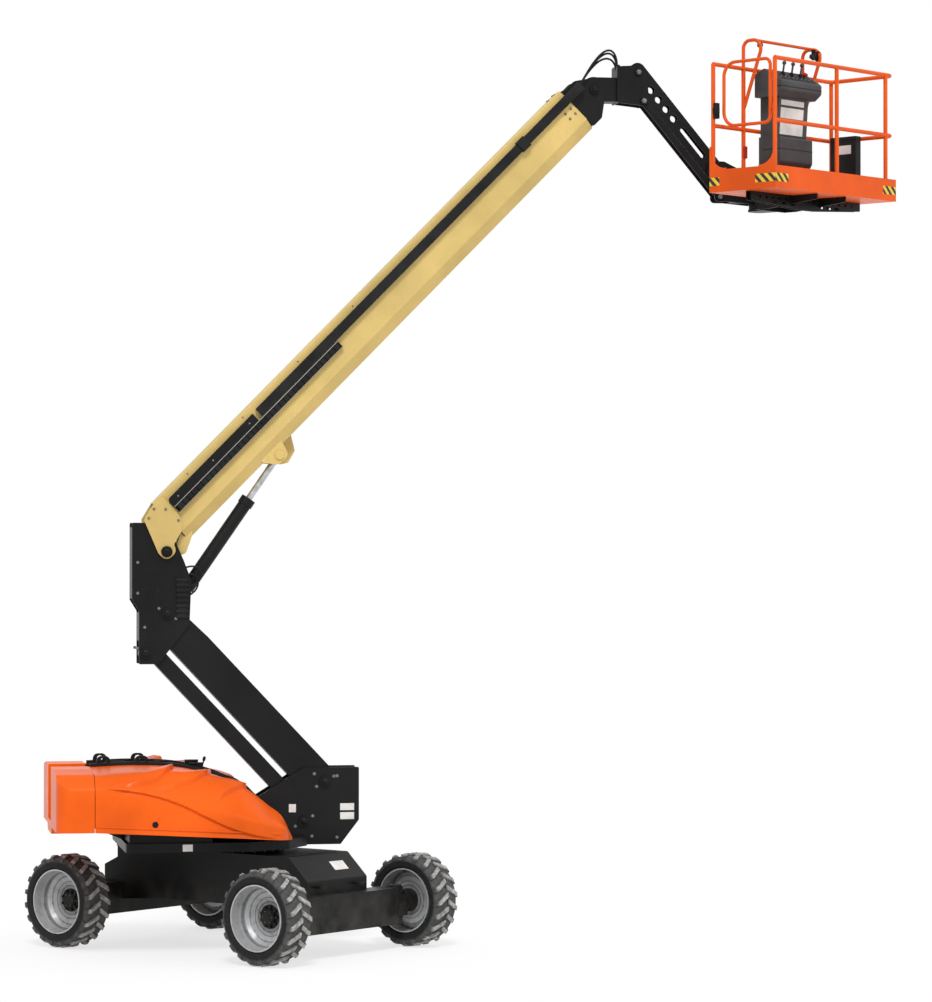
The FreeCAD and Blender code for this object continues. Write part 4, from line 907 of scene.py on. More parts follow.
@dataclass
class Palette:
    """Builds each shared finish once.

    Attributes:
        made: the materials by finish.
    """

    made: dict[Finish, bpy.types.Material] = field(default_factory=dict)

    def __post_init__(self) -> None:
        """Make all the shared materials."""
        recipes = {
            Finish.ORANGE: PaintFinish(Finish.ORANGE.value, linear(232, 92, 8), 0.36, 0.06, 0.06, 1.3,
                                       shine=0.12),
            Finish.PLATFORM: PaintFinish(Finish.PLATFORM.value, linear(226, 86, 10), 0.4, 0.08, shine=0.15),
            Finish.CREAM: PaintFinish(Finish.CREAM.value, linear(212, 184, 114), 0.45, 0.04, shine=0.15),
            Finish.BLACK: PaintFinish(Finish.BLACK.value, linear(18, 18, 18), 0.42, 0.04, 0.22, 0.7,
                                      shine=0.15),
            # light grey for the tray's lips: a painted highlight of the tray's lit edges
            Finish.EDGE_HIGHLIGHT: PaintFinish(Finish.EDGE_HIGHLIGHT.value, linear(150, 148, 140), 0.45, 0.1),
            Finish.DARK: PlasticFinish(Finish.DARK.value, linear(15, 15, 16)),
            Finish.CONSOLE: PlasticFinish(Finish.CONSOLE.value, linear(70, 70, 71)),
            Finish.CHROME: ChromeFinish(),
            Finish.PLATE: PlasticFinish(Finish.PLATE.value, linear(222, 220, 216), 0.45, 0.0002),
            Finish.RED: PlasticFinish(Finish.RED.value, linear(176, 34, 26), 0.4),
            Finish.BOLT: BoltFinish(),
        }
        for finish, recipe in recipes.items():
            self.made[finish] = recipe.build()

    def __getitem__(self, finish: Finish) -> bpy.types.Material:
        """The material of a finish."""
        return self.made[finish]

    def paint(self, finish: Finish, *nodes: str) -> None:
        """Put a finish on CAD nodes.

        Args:
            finish: the finish.
            nodes: the nodes' names.
        """
        for name in nodes:
            slots = frame["nodes"][name].data.materials
            slots.clear()
            slots.append(self.made[finish])

    def add(self, name: str, parts: list[tuple], finish: Finish, body: str,
            soft: float = 0.0) -> bpy.types.Object:
        """Make one piece of several parts on a body.

        Args:
            name: the piece's name.
            parts: vertices and quads of each part.
            finish: its finish.
            body: the body it moves with.
            soft: width of the rounding on its edges, none at 0.

        Returns:
            The piece.
        """
        obj = mesh_from_arrays(name, *joined(parts))
        if soft:
            softened(obj, soft)
        return dressed(obj, self.made[finish], body, SLOTS[finish])


# ------------------------------------------------------------------ wheels
@dataclass
class Wheels:
    """The four wheels' finishes, hub caps and screws.

    Attributes:
        palette: the shared finishes.
        band: radius where the tyre's sidewall turns into tread.
        face: place of the hub's face along the wheel's axis, from its centre outwards.
    """

    palette: Palette
    band: float = 0.354
    face: float = -0.018

    def dress(self) -> None:
        """Give each wheel materials that turn about its own centre."""
        for end in ("front", "rear"):
            for side in ("left", "right"):
                name = f"{end}_{side}"
                joint = joint_named(f"wheel_{name}_spin")
                centre, axis = tuple(joint["pos_m"]), tuple(joint["axis"])
                tyre = TyreFinish(f"tyre_rubber_{name}", centre, axis, self.band).build()
                # the first tone is the dark one for the discs' painted shade and dirt
                tones = (linear(66, 66, 66), linear(176, 177, 178))
                disc = WheelFinish(f"wheel_silver_{name}", centre, axis, tones).build()
                for node, material in ((f"tyre_{name}", tyre), (f"rim_{name}", disc)):
                    slots = frame["nodes"][node].data.materials
                    slots.clear()
                    slots.append(material)
                self.palette.paint(Finish.BLACK, f"hub_{name}")
                self.cap(name, np.array(centre), np.array(axis))
                LOG.info("wheel %s dressed", name)

    def cap(self, name: str, centre: np.ndarray, axis: np.ndarray) -> None:
        """Domed cover with its ring of small screws on the hub, and the valve stem.

        Args:
            name: which wheel.
            centre: the wheel's centre.
            axis: its spin axis.
        """
        outward = axis * np.sign(np.dot(centre - np.array(joint_named("swing")["pos_m"]), axis))
        bench = Bench(centre, np.column_stack(frames_of(outward)))
        dome = [(self.face - 0.002, 0.0), (self.face - 0.002, 0.062), (self.face + 0.006, 0.06),
                (self.face + 0.012, 0.05), (self.face + 0.015, 0.03), (self.face + 0.016, 0.0)]
        ring = circle(6, 0.052, self.face + 0.009)[:, [2, 0, 1]]
        self.palette.add(f"hub_cap_{name}", [bench.turned((0, 0, 0), (1, 0, 0), dome)], Finish.BLACK,
                         f"wheel_{name}")
        stem = [(0.0, 0.0), (0.0, 0.005), (0.03, 0.005), (0.034, 0.004), (0.034, 0.0)]
        screws = bench.bolts(ring, (1, 0, 0), 0.0045, 0.006)
        screws.append(bench.turned((0.0, 0.19, 0.09), (1.0, 0.1, 0.05), stem, 10))
        self.palette.add(f"hub_screws_{name}", screws, Finish.BOLT, f"wheel_{name}")


# ------------------------------------------------------------------ carried-over solids
@dataclass
class CadPaint:
    """Finishes of the CAD nodes other than the wheels.

    Attributes:
        palette: the shared finishes.
    """

    palette: Palette

    def dress(self) -> None:
        """Assign every node's finish."""
        paint = self.palette.paint
        paint(Finish.ORANGE, "hood_left", "hood_right", "counterweight")
        paint(Finish.PLATFORM, "platform_deck", "guard_rails", "gate", "gate_hinges")
        paint(Finish.CREAM, "boom_base", "fly_tube")
        paint(Finish.BLACK, "chassis_frame", "front_axle", "rear_axle", "swing_bearing", "knuckle_left",
              "knuckle_right", "turntable_base", "spine", "pedestal", "riser", "riser_link", "upright",
              "fly_nose", "yoke", "jib_beam", "jib_link", "jib_head", "platform_support", "lift_barrel",
              "power_pack", "tank_block", "hose_tray")
        paint(Finish.DARK, "power_track", "push_tube", "tube_clamp", "wear_pads", "document_box")
        paint(Finish.CONSOLE, "console")
        paint(Finish.CHROME, "lift_rod")


# ------------------------------------------------------------------ chassis
@dataclass
class ChassisTrim:
    """Small pieces on the frame and its axles.

    Attributes:
        palette: the shared finishes.
        slope: middle of the nose's sloped face, in height and reach.
        circle: radius of the slewing ring's bolt circle.
        kingpin: reach of the kingpins from the middle, along and across.
    """

    palette: Palette
    slope: tuple[float, float] = (1.010, 0.7625)
    circle: float = 0.379
    kingpin: tuple[float, float] = (1.17, 0.735)

    def dress(self) -> None:
        """Add the nose's blank plate, the ring's bolts, the kingpins' caps and the rear box."""
        bench = level_bench("swing", CHASSIS_YAW, True)
        run, normal = np.array([0.732, 0.0, -0.682]), np.array([0.682, 0.0, 0.732])
        middle = np.array([self.slope[0], 0.15, self.slope[1]]) - normal * 0.001
        sheet = [middle + run * a + np.array([0.0, b, 0.0]) for a, b in
                 ((-0.05, -0.09), (-0.05, 0.09), (0.05, 0.09), (0.05, -0.09))]
        self.palette.add("nose_plate", [bench.plate(sheet, normal * 0.005)], Finish.PLATE, "chassis")
        ring = bench.bolts(circle(24, self.circle, 0.8645), (0, 0, 1), 0.010, 0.014)
        self.palette.add("ring_bolts", ring, Finish.BOLT, "chassis")
        dome = [(0.0, 0.0), (0.0, 0.056), (0.010, 0.056), (0.016, 0.046), (0.02, 0.02), (0.02, 0.0)]
        caps, screws = [], []
        for side in (-1.0, 1.0):
            spot = (self.kingpin[0], side * self.kingpin[1], 0.5445)
            caps.append(bench.turned(spot, (0, 0, 1), dome))
            places = [(spot[0] + 0.038 * math.cos(a), spot[1] + 0.038 * math.sin(a), spot[2] + 0.014)
                      for a in (0.8, 2.37, 3.94, 5.5)]
            screws += bench.bolts(places, (0, 0, 1), 0.006, 0.007)
        self.palette.add("kingpin_caps", caps, Finish.BLACK, "chassis")
        self.palette.add("kingpin_screws", screws, Finish.BOLT, "chassis")
        self.palette.add("valve_box", [bench.block((-1.13, -0.395, 0.70), (-0.93, -0.24, 0.885)),
                                       bench.block((-1.138, -0.4, 0.86), (-0.922, -0.232, 0.872))],
                         Finish.DARK, "chassis", 0.006)


# ------------------------------------------------------------------ turntable and hoods
HOOD_STATIONS = np.array([
    # along, bottom, outer face, shoulder, knee's reach, knee's height, top beside the trough
    (-1.360, 1.100, 1.010, 1.475, 0.870, 1.590, 1.620),
    (-0.950, 1.080, 1.012, 1.430, 0.860, 1.612, 1.632),
    (-0.500, 1.055, 1.000, 1.325, 0.800, 1.596, 1.598),
    (-0.100, 1.030, 0.950, 1.225, 0.700, 1.490, 1.470),
    (0.180, 1.008, 0.860, 1.145, 0.570, 1.290, 1.272),
    (0.325, 0.996, 0.740, 1.090, 0.490, 1.160, 1.145),
    (0.385, 0.990, 0.600, 1.008, 0.430, 1.040, 1.045),
])
CREASE = np.array([          # along, height of the crease on the hood's side
    (-1.36, 1.485), (-1.10, 1.462), (-0.82, 1.405), (-0.60, 1.325), (-0.38, 1.215), (-0.20, 1.130),
    (0.385, 0.98)])
HOOD_COLUMNS = (44, 30, 34)  # points from inner edge to knee, to shoulder and to the bottom
HOOD_ROWS = 260              # points along a hood
ROUNDING = 4                 # points to either side in the mean that rounds the corners


def through(knots: np.ndarray, values: np.ndarray, places: np.ndarray) -> np.ndarray:
    """Smooth curve through knots: cubic Hermite pieces whose slopes are the neighbours' mean slopes.

    Args:
        knots: where the values are known, rising.
        values: (n, m) values there.
        places: where they are wanted.

    Returns:
        (places, m) values.
    """
    slopes = np.gradient(values, knots, axis=0)
    first = np.clip(np.searchsorted(knots, places) - 1, 0, len(knots) - 2)
    span = (knots[first + 1] - knots[first])[:, None]
    t = (places - knots[first])[:, None] / span
    return ((2 * t**3 - 3 * t**2 + 1) * values[first] + (t**3 - 2 * t**2 + t) * span * slopes[first]
            + (3 * t**2 - 2 * t**3) * values[first + 1] + (t**3 - t**2) * span * slopes[first + 1])


def eased(value: np.ndarray, low: float, high: float) -> np.ndarray:
    """Smooth step: 3 t squared less 2 t cubed between low and high.

    Args:
        value: where it is wanted.
        low: where it leaves 0.
        high: where it reaches 1.

    Returns:
        Values from 0 to 1.
    """
    t = np.clip((value - low) / (high - low), 0.0, 1.0)
    return t * t * (3 - 2 * t)


@dataclass
class Hood:
    """Moulded hoods with their crease, raised chevrons, edge strips, lips, latches and hinges.

    Attributes:
        palette: the shared finishes.
        inner: the hood's edge beside the trough.
        wall: thickness of the moulding.
        chevrons: along and reach of three points on the front edge of each raised chevron.
        rise: height of a chevron's front edge.
        run: how far a chevron tapers away rearwards.
        tuck: how far a chevron's thin end sinks into the hood.
        recess: how far the side sinks under the crease.
        lip: the lip's height above the hood's bottom.
    """

    palette: Palette
    inner: float = 0.222
    wall: float = 0.007
    chevrons: tuple[tuple[tuple[float, float], ...], ...] = (
        ((-1.06, 0.985), (-0.76, 0.87), (-0.64, 0.50)), ((-0.75, 0.98), (-0.42, 0.80), (-0.31, 0.47)),
        ((-0.30, 0.93), (-0.06, 0.70), (0.00, 0.45)))
    rise: float = 0.046
    run: float = 0.24
    tuck: float = 0.003
    recess: float = 0.030
    lip: float = 0.045

    def section(self, places: np.ndarray) -> np.ndarray:
        """Outer face of the moulding on the +Y side.

        Each row is the straight line over inner edge, knee, shoulder and bottom, with its corners
        rounded by a running mean. Under the crease the side sinks by the recess, dying away
        downwards.

        Args:
            places: positions along the hood.

        Returns:
            (places, columns, 3) points.
        """
        low, outer, shoulder, knee, crown, top = through(HOOD_STATIONS[:, 0], HOOD_STATIONS[:, 1:], places).T
        inner = np.full_like(low, self.inner)
        corners = np.stack([np.stack(pair, -1) for pair in
                            ((inner, top), (knee, crown), (outer, shoulder), (outer, low))], 1)
        runs = [corners[:, i, None] + (corners[:, i + 1, None] - corners[:, i, None])
                * np.linspace(0, 1, n, endpoint=i == 2)[None, :, None] for i, n in enumerate(HOOD_COLUMNS)]
        line = np.concatenate(runs, 1)
        window = 2 * ROUNDING + 1
        for _ in range(2):
            padded = np.pad(line, ((0, 0), (ROUNDING, ROUNDING), (0, 0)), mode="reflect", reflect_type="odd")
            line = sum(padded[:, k:k + line.shape[1]] for k in range(window)) / window
        across, height = line[..., 0], line[..., 1]
        crease = through(CREASE[:, 0], CREASE[:, 1:], places)
        below = crease - height
        fade = eased(places, -1.33, -1.12)[:, None] * (1 - eased(places, 0.0, 0.25))[:, None]
        sunk = np.where(below > 0, eased(below, 0.0, 0.012) * np.exp(-np.maximum(below, 0) / 0.11), 0.0)
        across = across - self.recess * sunk * fade
        return np.stack([np.broadcast_to(places[:, None], across.shape), across, height], -1)

    def chevron(self, edge: tuple[tuple[float, float], ...], side: float) -> np.ndarray:
        """Rings of one raised chevron: a wedge that lies on the upper face.

        Its front edge is a smooth curve through three points. Behind it the wedge's top is the
        hood's own height plus the rise times the place across the wedge to the power 1.5, and
        both ends of the edge sink into the hood.

        Args:
            edge: along and reach of the front edge's points.
            side: 1 for the +Y hood, -1 for the other.

        Returns:
            (rings, 8, 3) points.
        """
        along = np.linspace(0.0, 1.0, 28)
        path = through(np.array([0.0, 0.5, 1.0]), np.array(edge), along)
        part = np.linspace(0.0, 1.0, 6)
        places = path[:, :1] - self.run * (1 - part)
        reach = np.repeat(path[:, 1:], len(part), 1)
        rings = self.section(places.ravel())[:, :sum(HOOD_COLUMNS[:2])]
        skin = np.array([np.interp(at, ring[:, 1], ring[:, 2]) for at, ring in zip(reach.ravel(), rings)])
        skin = skin.reshape(places.shape)
        swell = (eased(along, 0.0, 0.1) * (1 - eased(along, 0.9, 1.0)))[:, None]
        top = skin - self.tuck + (self.rise + self.tuck) * part ** 1.5 * swell
        wedge = np.stack([places, reach * side, top], -1)
        foot = wedge[:, [-1, 0]].copy()
        foot[..., 2] = skin[:, [-1, 0]] - 2 * self.tuck
        return np.concatenate([wedge, foot], 1)

    def moulding(self, side: float) -> np.ndarray:
        """Rings of the whole wall: out over the outer face and back along the inner one.

        The inner face is the outer one moved back along the section's own normal by the wall.

        Args:
            side: 1 for the +Y hood, -1 for the other.

        Returns:
            (rings, points, 3) places.
        """
        outer = self.section(np.linspace(HOOD_STATIONS[0, 0], HOOD_STATIONS[-1, 0], HOOD_ROWS))
        run = np.gradient(outer[..., 1:], axis=1)
        run /= np.linalg.norm(run, axis=-1, keepdims=True)
        inward = np.stack([np.zeros(run.shape[:2]), run[..., 1], -run[..., 0]], -1)
        rings = np.concatenate([outer, (outer + inward * self.wall)[:, ::-1]], 1)
        return rings * np.array([1.0, side, 1.0])

    def dress(self) -> None:
        """Make the hoods of both sides."""
        bench = level_bench("swing", 0.0, True)
        for name, side in (("left", 1.0), ("right", -1.0)):
            body = f"hood_lid_{name}"
            rings = bench.at(self.moulding(side))
            shell = self.palette.add(f"hood_moulding_{name}", [lofted(rings)], Finish.ORANGE, body)
            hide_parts(f"hood_{name}")
            self.hinges(bench, name, side)
            self.palette.add(f"hood_chevrons_{name}", [lofted(bench.at(self.chevron(edge, side)))
                                                       for edge in self.chevrons], Finish.ORANGE, body)
            face = self.section(np.linspace(-1.352, 0.372, 80))
            top = face[:, 0] * np.array([1.0, side, 1.0]) + np.array([0.0, side * 0.014, -0.003])
            edge = strip(bench.at(top), (0.0, 0.034, 0.0), (0.0, 0.0, 0.032))
            self.palette.add(f"hood_edge_{name}", [edge], Finish.DARK, body)
            low = self.section(np.linspace(-1.350, 0.26, 60))[:, -1] * np.array([1.0, side, 1.0])
            roll = strip(bench.at(low + np.array([0.0, 0.0, self.lip])), (0.0, 0.014, 0.0), (0.0, 0.0, 0.016))
            self.palette.add(f"hood_lip_{name}", [roll], Finish.ORANGE, body, 0.003)
            cup = [(-0.006, 0.0), (-0.006, 0.026), (0.005, 0.026), (0.006, 0.023), (0.001, 0.019),
                   (0.001, 0.0)]
            reach = side * 1.010
            self.palette.add(f"hood_latch_{name}",
                             [bench.turned((-0.848, reach, 1.165), (0, side, 0), cup),
                              bench.block((-0.856, reach - 0.004, 1.155), (-0.840, reach + 0.004, 1.175))],
                             Finish.DARK, body)

    def hinges(self, bench: Bench, name: str, side: float) -> None:
        """Hinge barrels and their cranked leaves along the trough.

        Args:
            bench: the turntable's bench.
            name: which hood.
            side: 1 for the +Y hood, -1 for the other.
        """
        barrel = [(0.0, 0.0), (0.0, 0.011), (0.06, 0.011), (0.06, 0.0)]
        parts = []
        for start in (-1.0797, -0.6997, -0.4197):
            stop = start + 0.06
            parts.append(bench.turned((start, side * 0.211, 1.638), (1, 0, 0), barrel, 20))
            for near, far, low, high in ((0.211, 0.240, 1.634, 1.644), (0.2225, 0.232, 1.576, 1.644)):
                y0, y1 = sorted((side * near, side * far))
                parts.append(bench.block((start, y0, low), (stop, y1, high)))
        self.palette.add(f"hood_hinges_{name}", parts, Finish.BLACK, f"hood_lid_{name}")


@dataclass
class TurntableTrim:
    """Blank plates, pedestal nuts, lever and the machinery under the hoods.

    Attributes:
        palette: the shared finishes.
        cheek: reach of the pedestal's outer faces.
        riser_pin: the riser's pin, along and up.
        link_pin: the link's pin, along and up.
    """

    palette: Palette
    cheek: float = 0.138
    riser_pin: tuple[float, float] = (0.737, 1.462)
    link_pin: tuple[float, float] = (0.547, 1.112)

    def dress(self) -> None:
        """Add the pieces of the turntable."""
        bench = level_bench("swing", 0.0, True)
        near = -self.cheek
        plates = [bench.block((x0, near - 0.003, z0), (x1, near + 0.001, z1)) for x0, x1, z0, z1 in
                  ((0.871, 0.996, 1.205, 1.266), (0.871, 0.996, 1.125, 1.187), (0.412, 0.475, 1.192, 1.264))]
        plates.append(bench.block((-0.593, -0.8035, 0.915), (-0.506, -0.799, 0.975)))
        self.palette.add("blank_plates", plates, Finish.PLATE, "turntable", 0.001)
        nuts, screws = [], []
        for side in (-1.0, 1.0):
            face = side * (self.cheek + 0.019)
            nuts += bench.bolts([(x, face, z) for x, z in (self.riser_pin, self.link_pin)], (0, side, 0),
                                0.030, 0.024)
            low = side * (self.cheek - 0.001)
            spots = [(0.618, low, 0.977), (0.842, low, 0.965), (0.842, low, 1.51), (0.64, low, 1.53)]
            spots += [(x + dx, low, z + dz) for x, z in (self.riser_pin, self.link_pin)
                      for dx, dz in ((0.078, 0.045), (-0.078, -0.045))]
            screws += bench.bolts(spots, (0, side, 0), 0.012, 0.013)
        self.palette.add("pedestal_nuts", nuts, Finish.BLACK, "turntable")
        self.palette.add("pedestal_screws", screws, Finish.BOLT, "turntable")
        grip = [(0.0, 0.0), (0.0, 0.007), (0.07, 0.006), (0.075, 0.013), (0.1, 0.014), (0.112, 0.009),
                (0.113, 0.0)]
        self.palette.add("release_lever", [bench.turned((-0.37, -0.2075, 1.59), (0.25, 0.0, 1.0), grip, 20)],
                         Finish.DARK, "turntable")
        self.machinery(bench)

    def machinery(self, bench: Bench) -> None:
        """Filter, filler cap and pipe on the blocks under the hoods.

        Args:
            bench: the turntable's bench.
        """
        can = [(0.0, 0.0), (0.0, 0.066), (0.012, 0.072), (0.05, 0.072), (0.055, 0.068), (0.25, 0.068),
               (0.255, 0.072), (0.29, 0.072), (0.31, 0.05), (0.31, 0.0)]
        cap = [(-0.002, 0.0), (-0.002, 0.05), (0.02, 0.05), (0.022, 0.042), (0.05, 0.04), (0.055, 0.03),
               (0.055, 0.0)]
        for piece, place, axis, profile in (("air_filter", (-0.96, 0.5, 1.486), (1, 0, 0), can),
                                            ("filler_cap", (-0.55, -0.5, 1.38), (0, 0, 1), cap)):
            self.palette.add(piece, [bench.turned(place, axis, profile)], Finish.DARK, "turntable")
        ribs = [bench.block((x, 0.27, 1.419), (x + 0.03, 0.74, 1.434)) for x in np.arange(-0.62, -0.36, 0.06)]
        self.palette.add("cover_ribs", ribs, Finish.BLACK, "turntable", 0.004)


# ------------------------------------------------------------------ upright
@dataclass
class UprightTrim:
    """Pin nuts, cheek screws, ribbed hose guard and the two short hoses by the lift cylinder's foot.

    Attributes:
        palette: the shared finishes.
        cheek: reach of the upright's outer faces.
    """

    palette: Palette
    cheek: float = 0.138

    def dress(self) -> None:
        """Add the pieces of the upright, measured from the riser's top pin."""
        bench = level_bench("upright_level")
        nuts, screws = [], []
        for side in (-1.0, 1.0):
            face = side * (self.cheek + 0.019)
            nuts += bench.bolts([(0.0, face, 0.0), (-0.19, face, -0.35)], (0, side, 0), 0.030, 0.024)
            nuts += bench.bolts([(-0.009, side * 0.183, 0.545)], (0, side, 0), 0.030, 0.018)
            low = side * (self.cheek - 0.001)
            spots = [(-0.075, low, 0.045), (0.075, low, -0.045), (-0.265, low, -0.305), (-0.262, low, 0.18),
                     (-0.262, low, 0.45), (-0.2, low, -0.12)]
            screws += bench.bolts(spots, (0, side, 0), 0.011, 0.012)
        self.palette.add("upright_nuts", nuts, Finish.BLACK, "upright_head")
        self.palette.add("upright_screws", screws, Finish.BOLT, "upright_head")
        ribs = [bench.block((0.075, -self.cheek - 0.016, z), (0.187, -self.cheek + 0.001, z + 0.026))
                for z in np.arange(-0.04, 0.30, 0.046)]
        ribs.append(bench.block((0.085, -self.cheek - 0.008, -0.045), (0.177, -self.cheek + 0.001, 0.31)))
        self.palette.add("hose_guard", ribs, Finish.DARK, "upright_head", 0.004)
        hoses = [hose(bench.at(route), 0.008) for route in (
            ((0.15, -0.122, 0.40), (0.30, -0.126, 0.47), (0.37, -0.126, 0.30), (0.20, -0.122, 0.24)),
            ((0.15, -0.104, 0.33), (0.28, -0.106, 0.40), (0.33, -0.106, 0.22), (0.19, -0.104, 0.16)))]
        self.palette.add("foot_hoses", hoses, Finish.DARK, "upright_head")


# ------------------------------------------------------------------ upper boom
def bernstein(count: int, controls: int) -> np.ndarray:
    """Weights of a Bezier curve's control points: choose(n, k) t^k (1 - t)^(n - k) at even t.

    Args:
        count: points along the curve.
        controls: how many control points.

    Returns:
        (count, controls) weights.
    """
    t = np.linspace(0.0, 1.0, count)[:, None]
    n = controls - 1
    k = np.arange(controls)[None, :]
    choose = np.array([math.comb(n, i) for i in range(controls)], float)[None, :]
    return choose * t ** k * (1.0 - t) ** (n - k)


def hose(controls: object, radius: float, count: int = 40, sides: int = 12) -> Solid:
    """Round hose clamped at both ends, carried along a Bezier curve.

    A ring's point is the curve's point plus the radius times the cosine of its angle along the
    direction square to the run and the boom's plane, and the sine along the plane's normal.

    Args:
        controls: control points of its middle line.
        radius: the hose's radius.
        count: rings along it.
        sides: points round it.

    Returns:
        Vertices and quads.
    """
    controls = np.asarray(controls, float)
    line = bernstein(count, len(controls)) @ controls
    run = np.gradient(line, axis=0)
    run /= np.linalg.norm(run, axis=1)[:, None]
    first = np.cross(run, [0.0, 1.0, 0.0])
    first /= np.linalg.norm(first, axis=1)[:, None]
    second = np.cross(run, first)
    angle = np.linspace(0.0, 2.0 * np.pi, sides, endpoint=False)[None, :, None]
    return lofted(line[:, None] + radius * (np.cos(angle) * first[:, None] + np.sin(angle) * second[:, None]))


@dataclass
class BoomTrim:
    """Tray lip painted light grey as a painted highlight of the tray's lit edge, foot screws, pad screws and
    hose clips of the base section.

    Attributes:
        palette: the shared finishes.
        side: half width of the boom.
        foot: outer face of the foot plate.
        tray: start, end and depth of the hose tray.
    """

    palette: Palette
    side: float = 0.146
    foot: float = 0.164
    tray: tuple[float, float, float] = (0.330, 2.400, 0.046)

    def dress(self) -> None:
        """Add the pieces of the base section."""
        bench = raised_bench("boom_lift", joint_named("telescope")["axis"])
        start, end, depth = self.tray
        face = -self.side - depth
        # the light grey lip strips are a painted highlight of the tray's lit outer edges
        lip = [bench.block((start, face - 0.0015, 0.2265), (end, face + 0.004, 0.2335)),
               bench.block((start, face - 0.0015, 0.1645), (end, face + 0.002, 0.1675))]
        self.palette.add("tray_lip", lip, Finish.EDGE_HIGHLIGHT, "boom")
        screws = []
        for side in (-1.0, 1.0):
            low = side * (self.foot - 0.001)
            plate = [(0.10, low, 0.32), (0.19, low, 0.345), (0.26, low, 0.27), (0.27, low, 0.12)]
            screws += bench.bolts(plate, (0, side, 0), 0.010, 0.011)
            wall = side * (self.side - 0.001)
            screws += bench.bolts([(x, wall, z) for x in (5.325, 5.395) for z in (0.14, 0.20)],
                                  (0, side, 0), 0.010, 0.011)
            row = [(x, wall, 0.352) for x in (0.62, 1.32, 2.02, 2.72)]
            screws += bench.bolts(row, (0, side, 0), 0.007, 0.006)
        top = [(x, y, 0.384) for x in (5.325, 5.395) for y in (-0.04, 0.04)]
        screws += bench.bolts(top, (0, 0, 1), 0.010, 0.011)
        self.palette.add("boom_screws", screws, Finish.BOLT, "boom")
        collar = [bench.block((5.40, -0.1475, 0.06), (5.428, -0.145, 0.37)),
                  bench.block((5.40, 0.145, 0.06), (5.428, 0.1475, 0.37)),
                  bench.block((5.40, -0.13, 0.384), (5.428, 0.13, 0.3865))]
        self.palette.add("mouth_band", collar, Finish.CREAM, "boom")
        stud = [(0, 0), (0, 0.009), (0.006, 0.008), (0.008, 0.0)]
        studs = [bench.turned((x, face + 0.008, 0.275), (0, -1, 0), stud, 12) for x in (0.42, 0.86, 1.32)]
        self.palette.add("carrier_studs", studs, Finish.BOLT, "boom")


@dataclass
class NoseTrim:
    """Nuts of the yoke's pin and the hoses that arch from the push tube to the yoke.

    Attributes:
        palette: the shared finishes.
        pin: the yoke's pin, along and up from the boom's pin.
        reach: where its nuts sit to either side.
    """

    palette: Palette
    pin: tuple[float, float] = (5.680, 0.165)
    reach: float = 0.134

    def dress(self) -> None:
        """Add the pieces of the nose."""
        bench = raised_bench("boom_lift", joint_named("telescope")["axis"])
        nuts = []
        for side in (-1.0, 1.0):
            nuts += bench.bolts([(self.pin[0], side * self.reach, self.pin[1])], (0, side, 0), 0.026, 0.022)
        self.palette.add("nose_nuts", nuts, Finish.BLACK, "fly")
        yoke = level_bench("yoke_level")
        tube_end = bench.at((5.60, -0.172, 0.292))
        hoses = []
        for lift, drop, y in ((0.00, 0.0, -0.06), (-0.05, -0.02, -0.035), (0.03, 0.01, -0.085)):
            flange = yoke.at((0.215, y, 0.205 + drop))
            away = bench.way((1.0, 0.0, 0.25))
            over = yoke.at((0.09, (y - 0.17) / 2, 0.44 + lift))
            down = flange + np.array([0.0, 0.0, 0.16 + lift])
            hoses.append(hose([tube_end, tube_end + away * 0.16, over, down, flange], 0.0095))
        piece = self.palette.add("nose_hoses", hoses, Finish.DARK, "")
        tuple(yoke.at((0.2, -0.06, 0.2)))
        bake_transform(piece)


# ------------------------------------------------------------------ jib
@dataclass
class JibTrim:
    """Nuts on the jib's four pin lines and screws on the rotator.

    Attributes:
        palette: the shared finishes.
        reach: where the nuts sit to either side.
        link: the link's pin from the beam's, along and up.
    """

    palette: Palette
    reach: float = 0.112
    link: tuple[float, float] = (0.050, -0.260)

    def dress(self) -> None:
        """Add the nuts on the yoke and on the jib's head."""
        for joint, body in (("jib_lift", "yoke_body"), ("jib_head_level", "jib_end")):
            bench = level_bench(joint)
            nuts = []
            for side in (-1.0, 1.0):
                spots = [(0.0, side * self.reach, 0.0), (self.link[0], side * self.reach, self.link[1])]
                nuts += bench.bolts(spots, (0, side, 0), 0.018, 0.016)
            self.palette.add(f"pin_nuts_{body}", nuts, Finish.BOLT, body)
        bench = level_bench("platform_turn")
        screws = bench.bolts(circle(8, 0.07, 0.2598), (0, 0, 1), 0.007, 0.008)
        self.palette.add("rotator_screws", screws, Finish.BOLT, "platform")


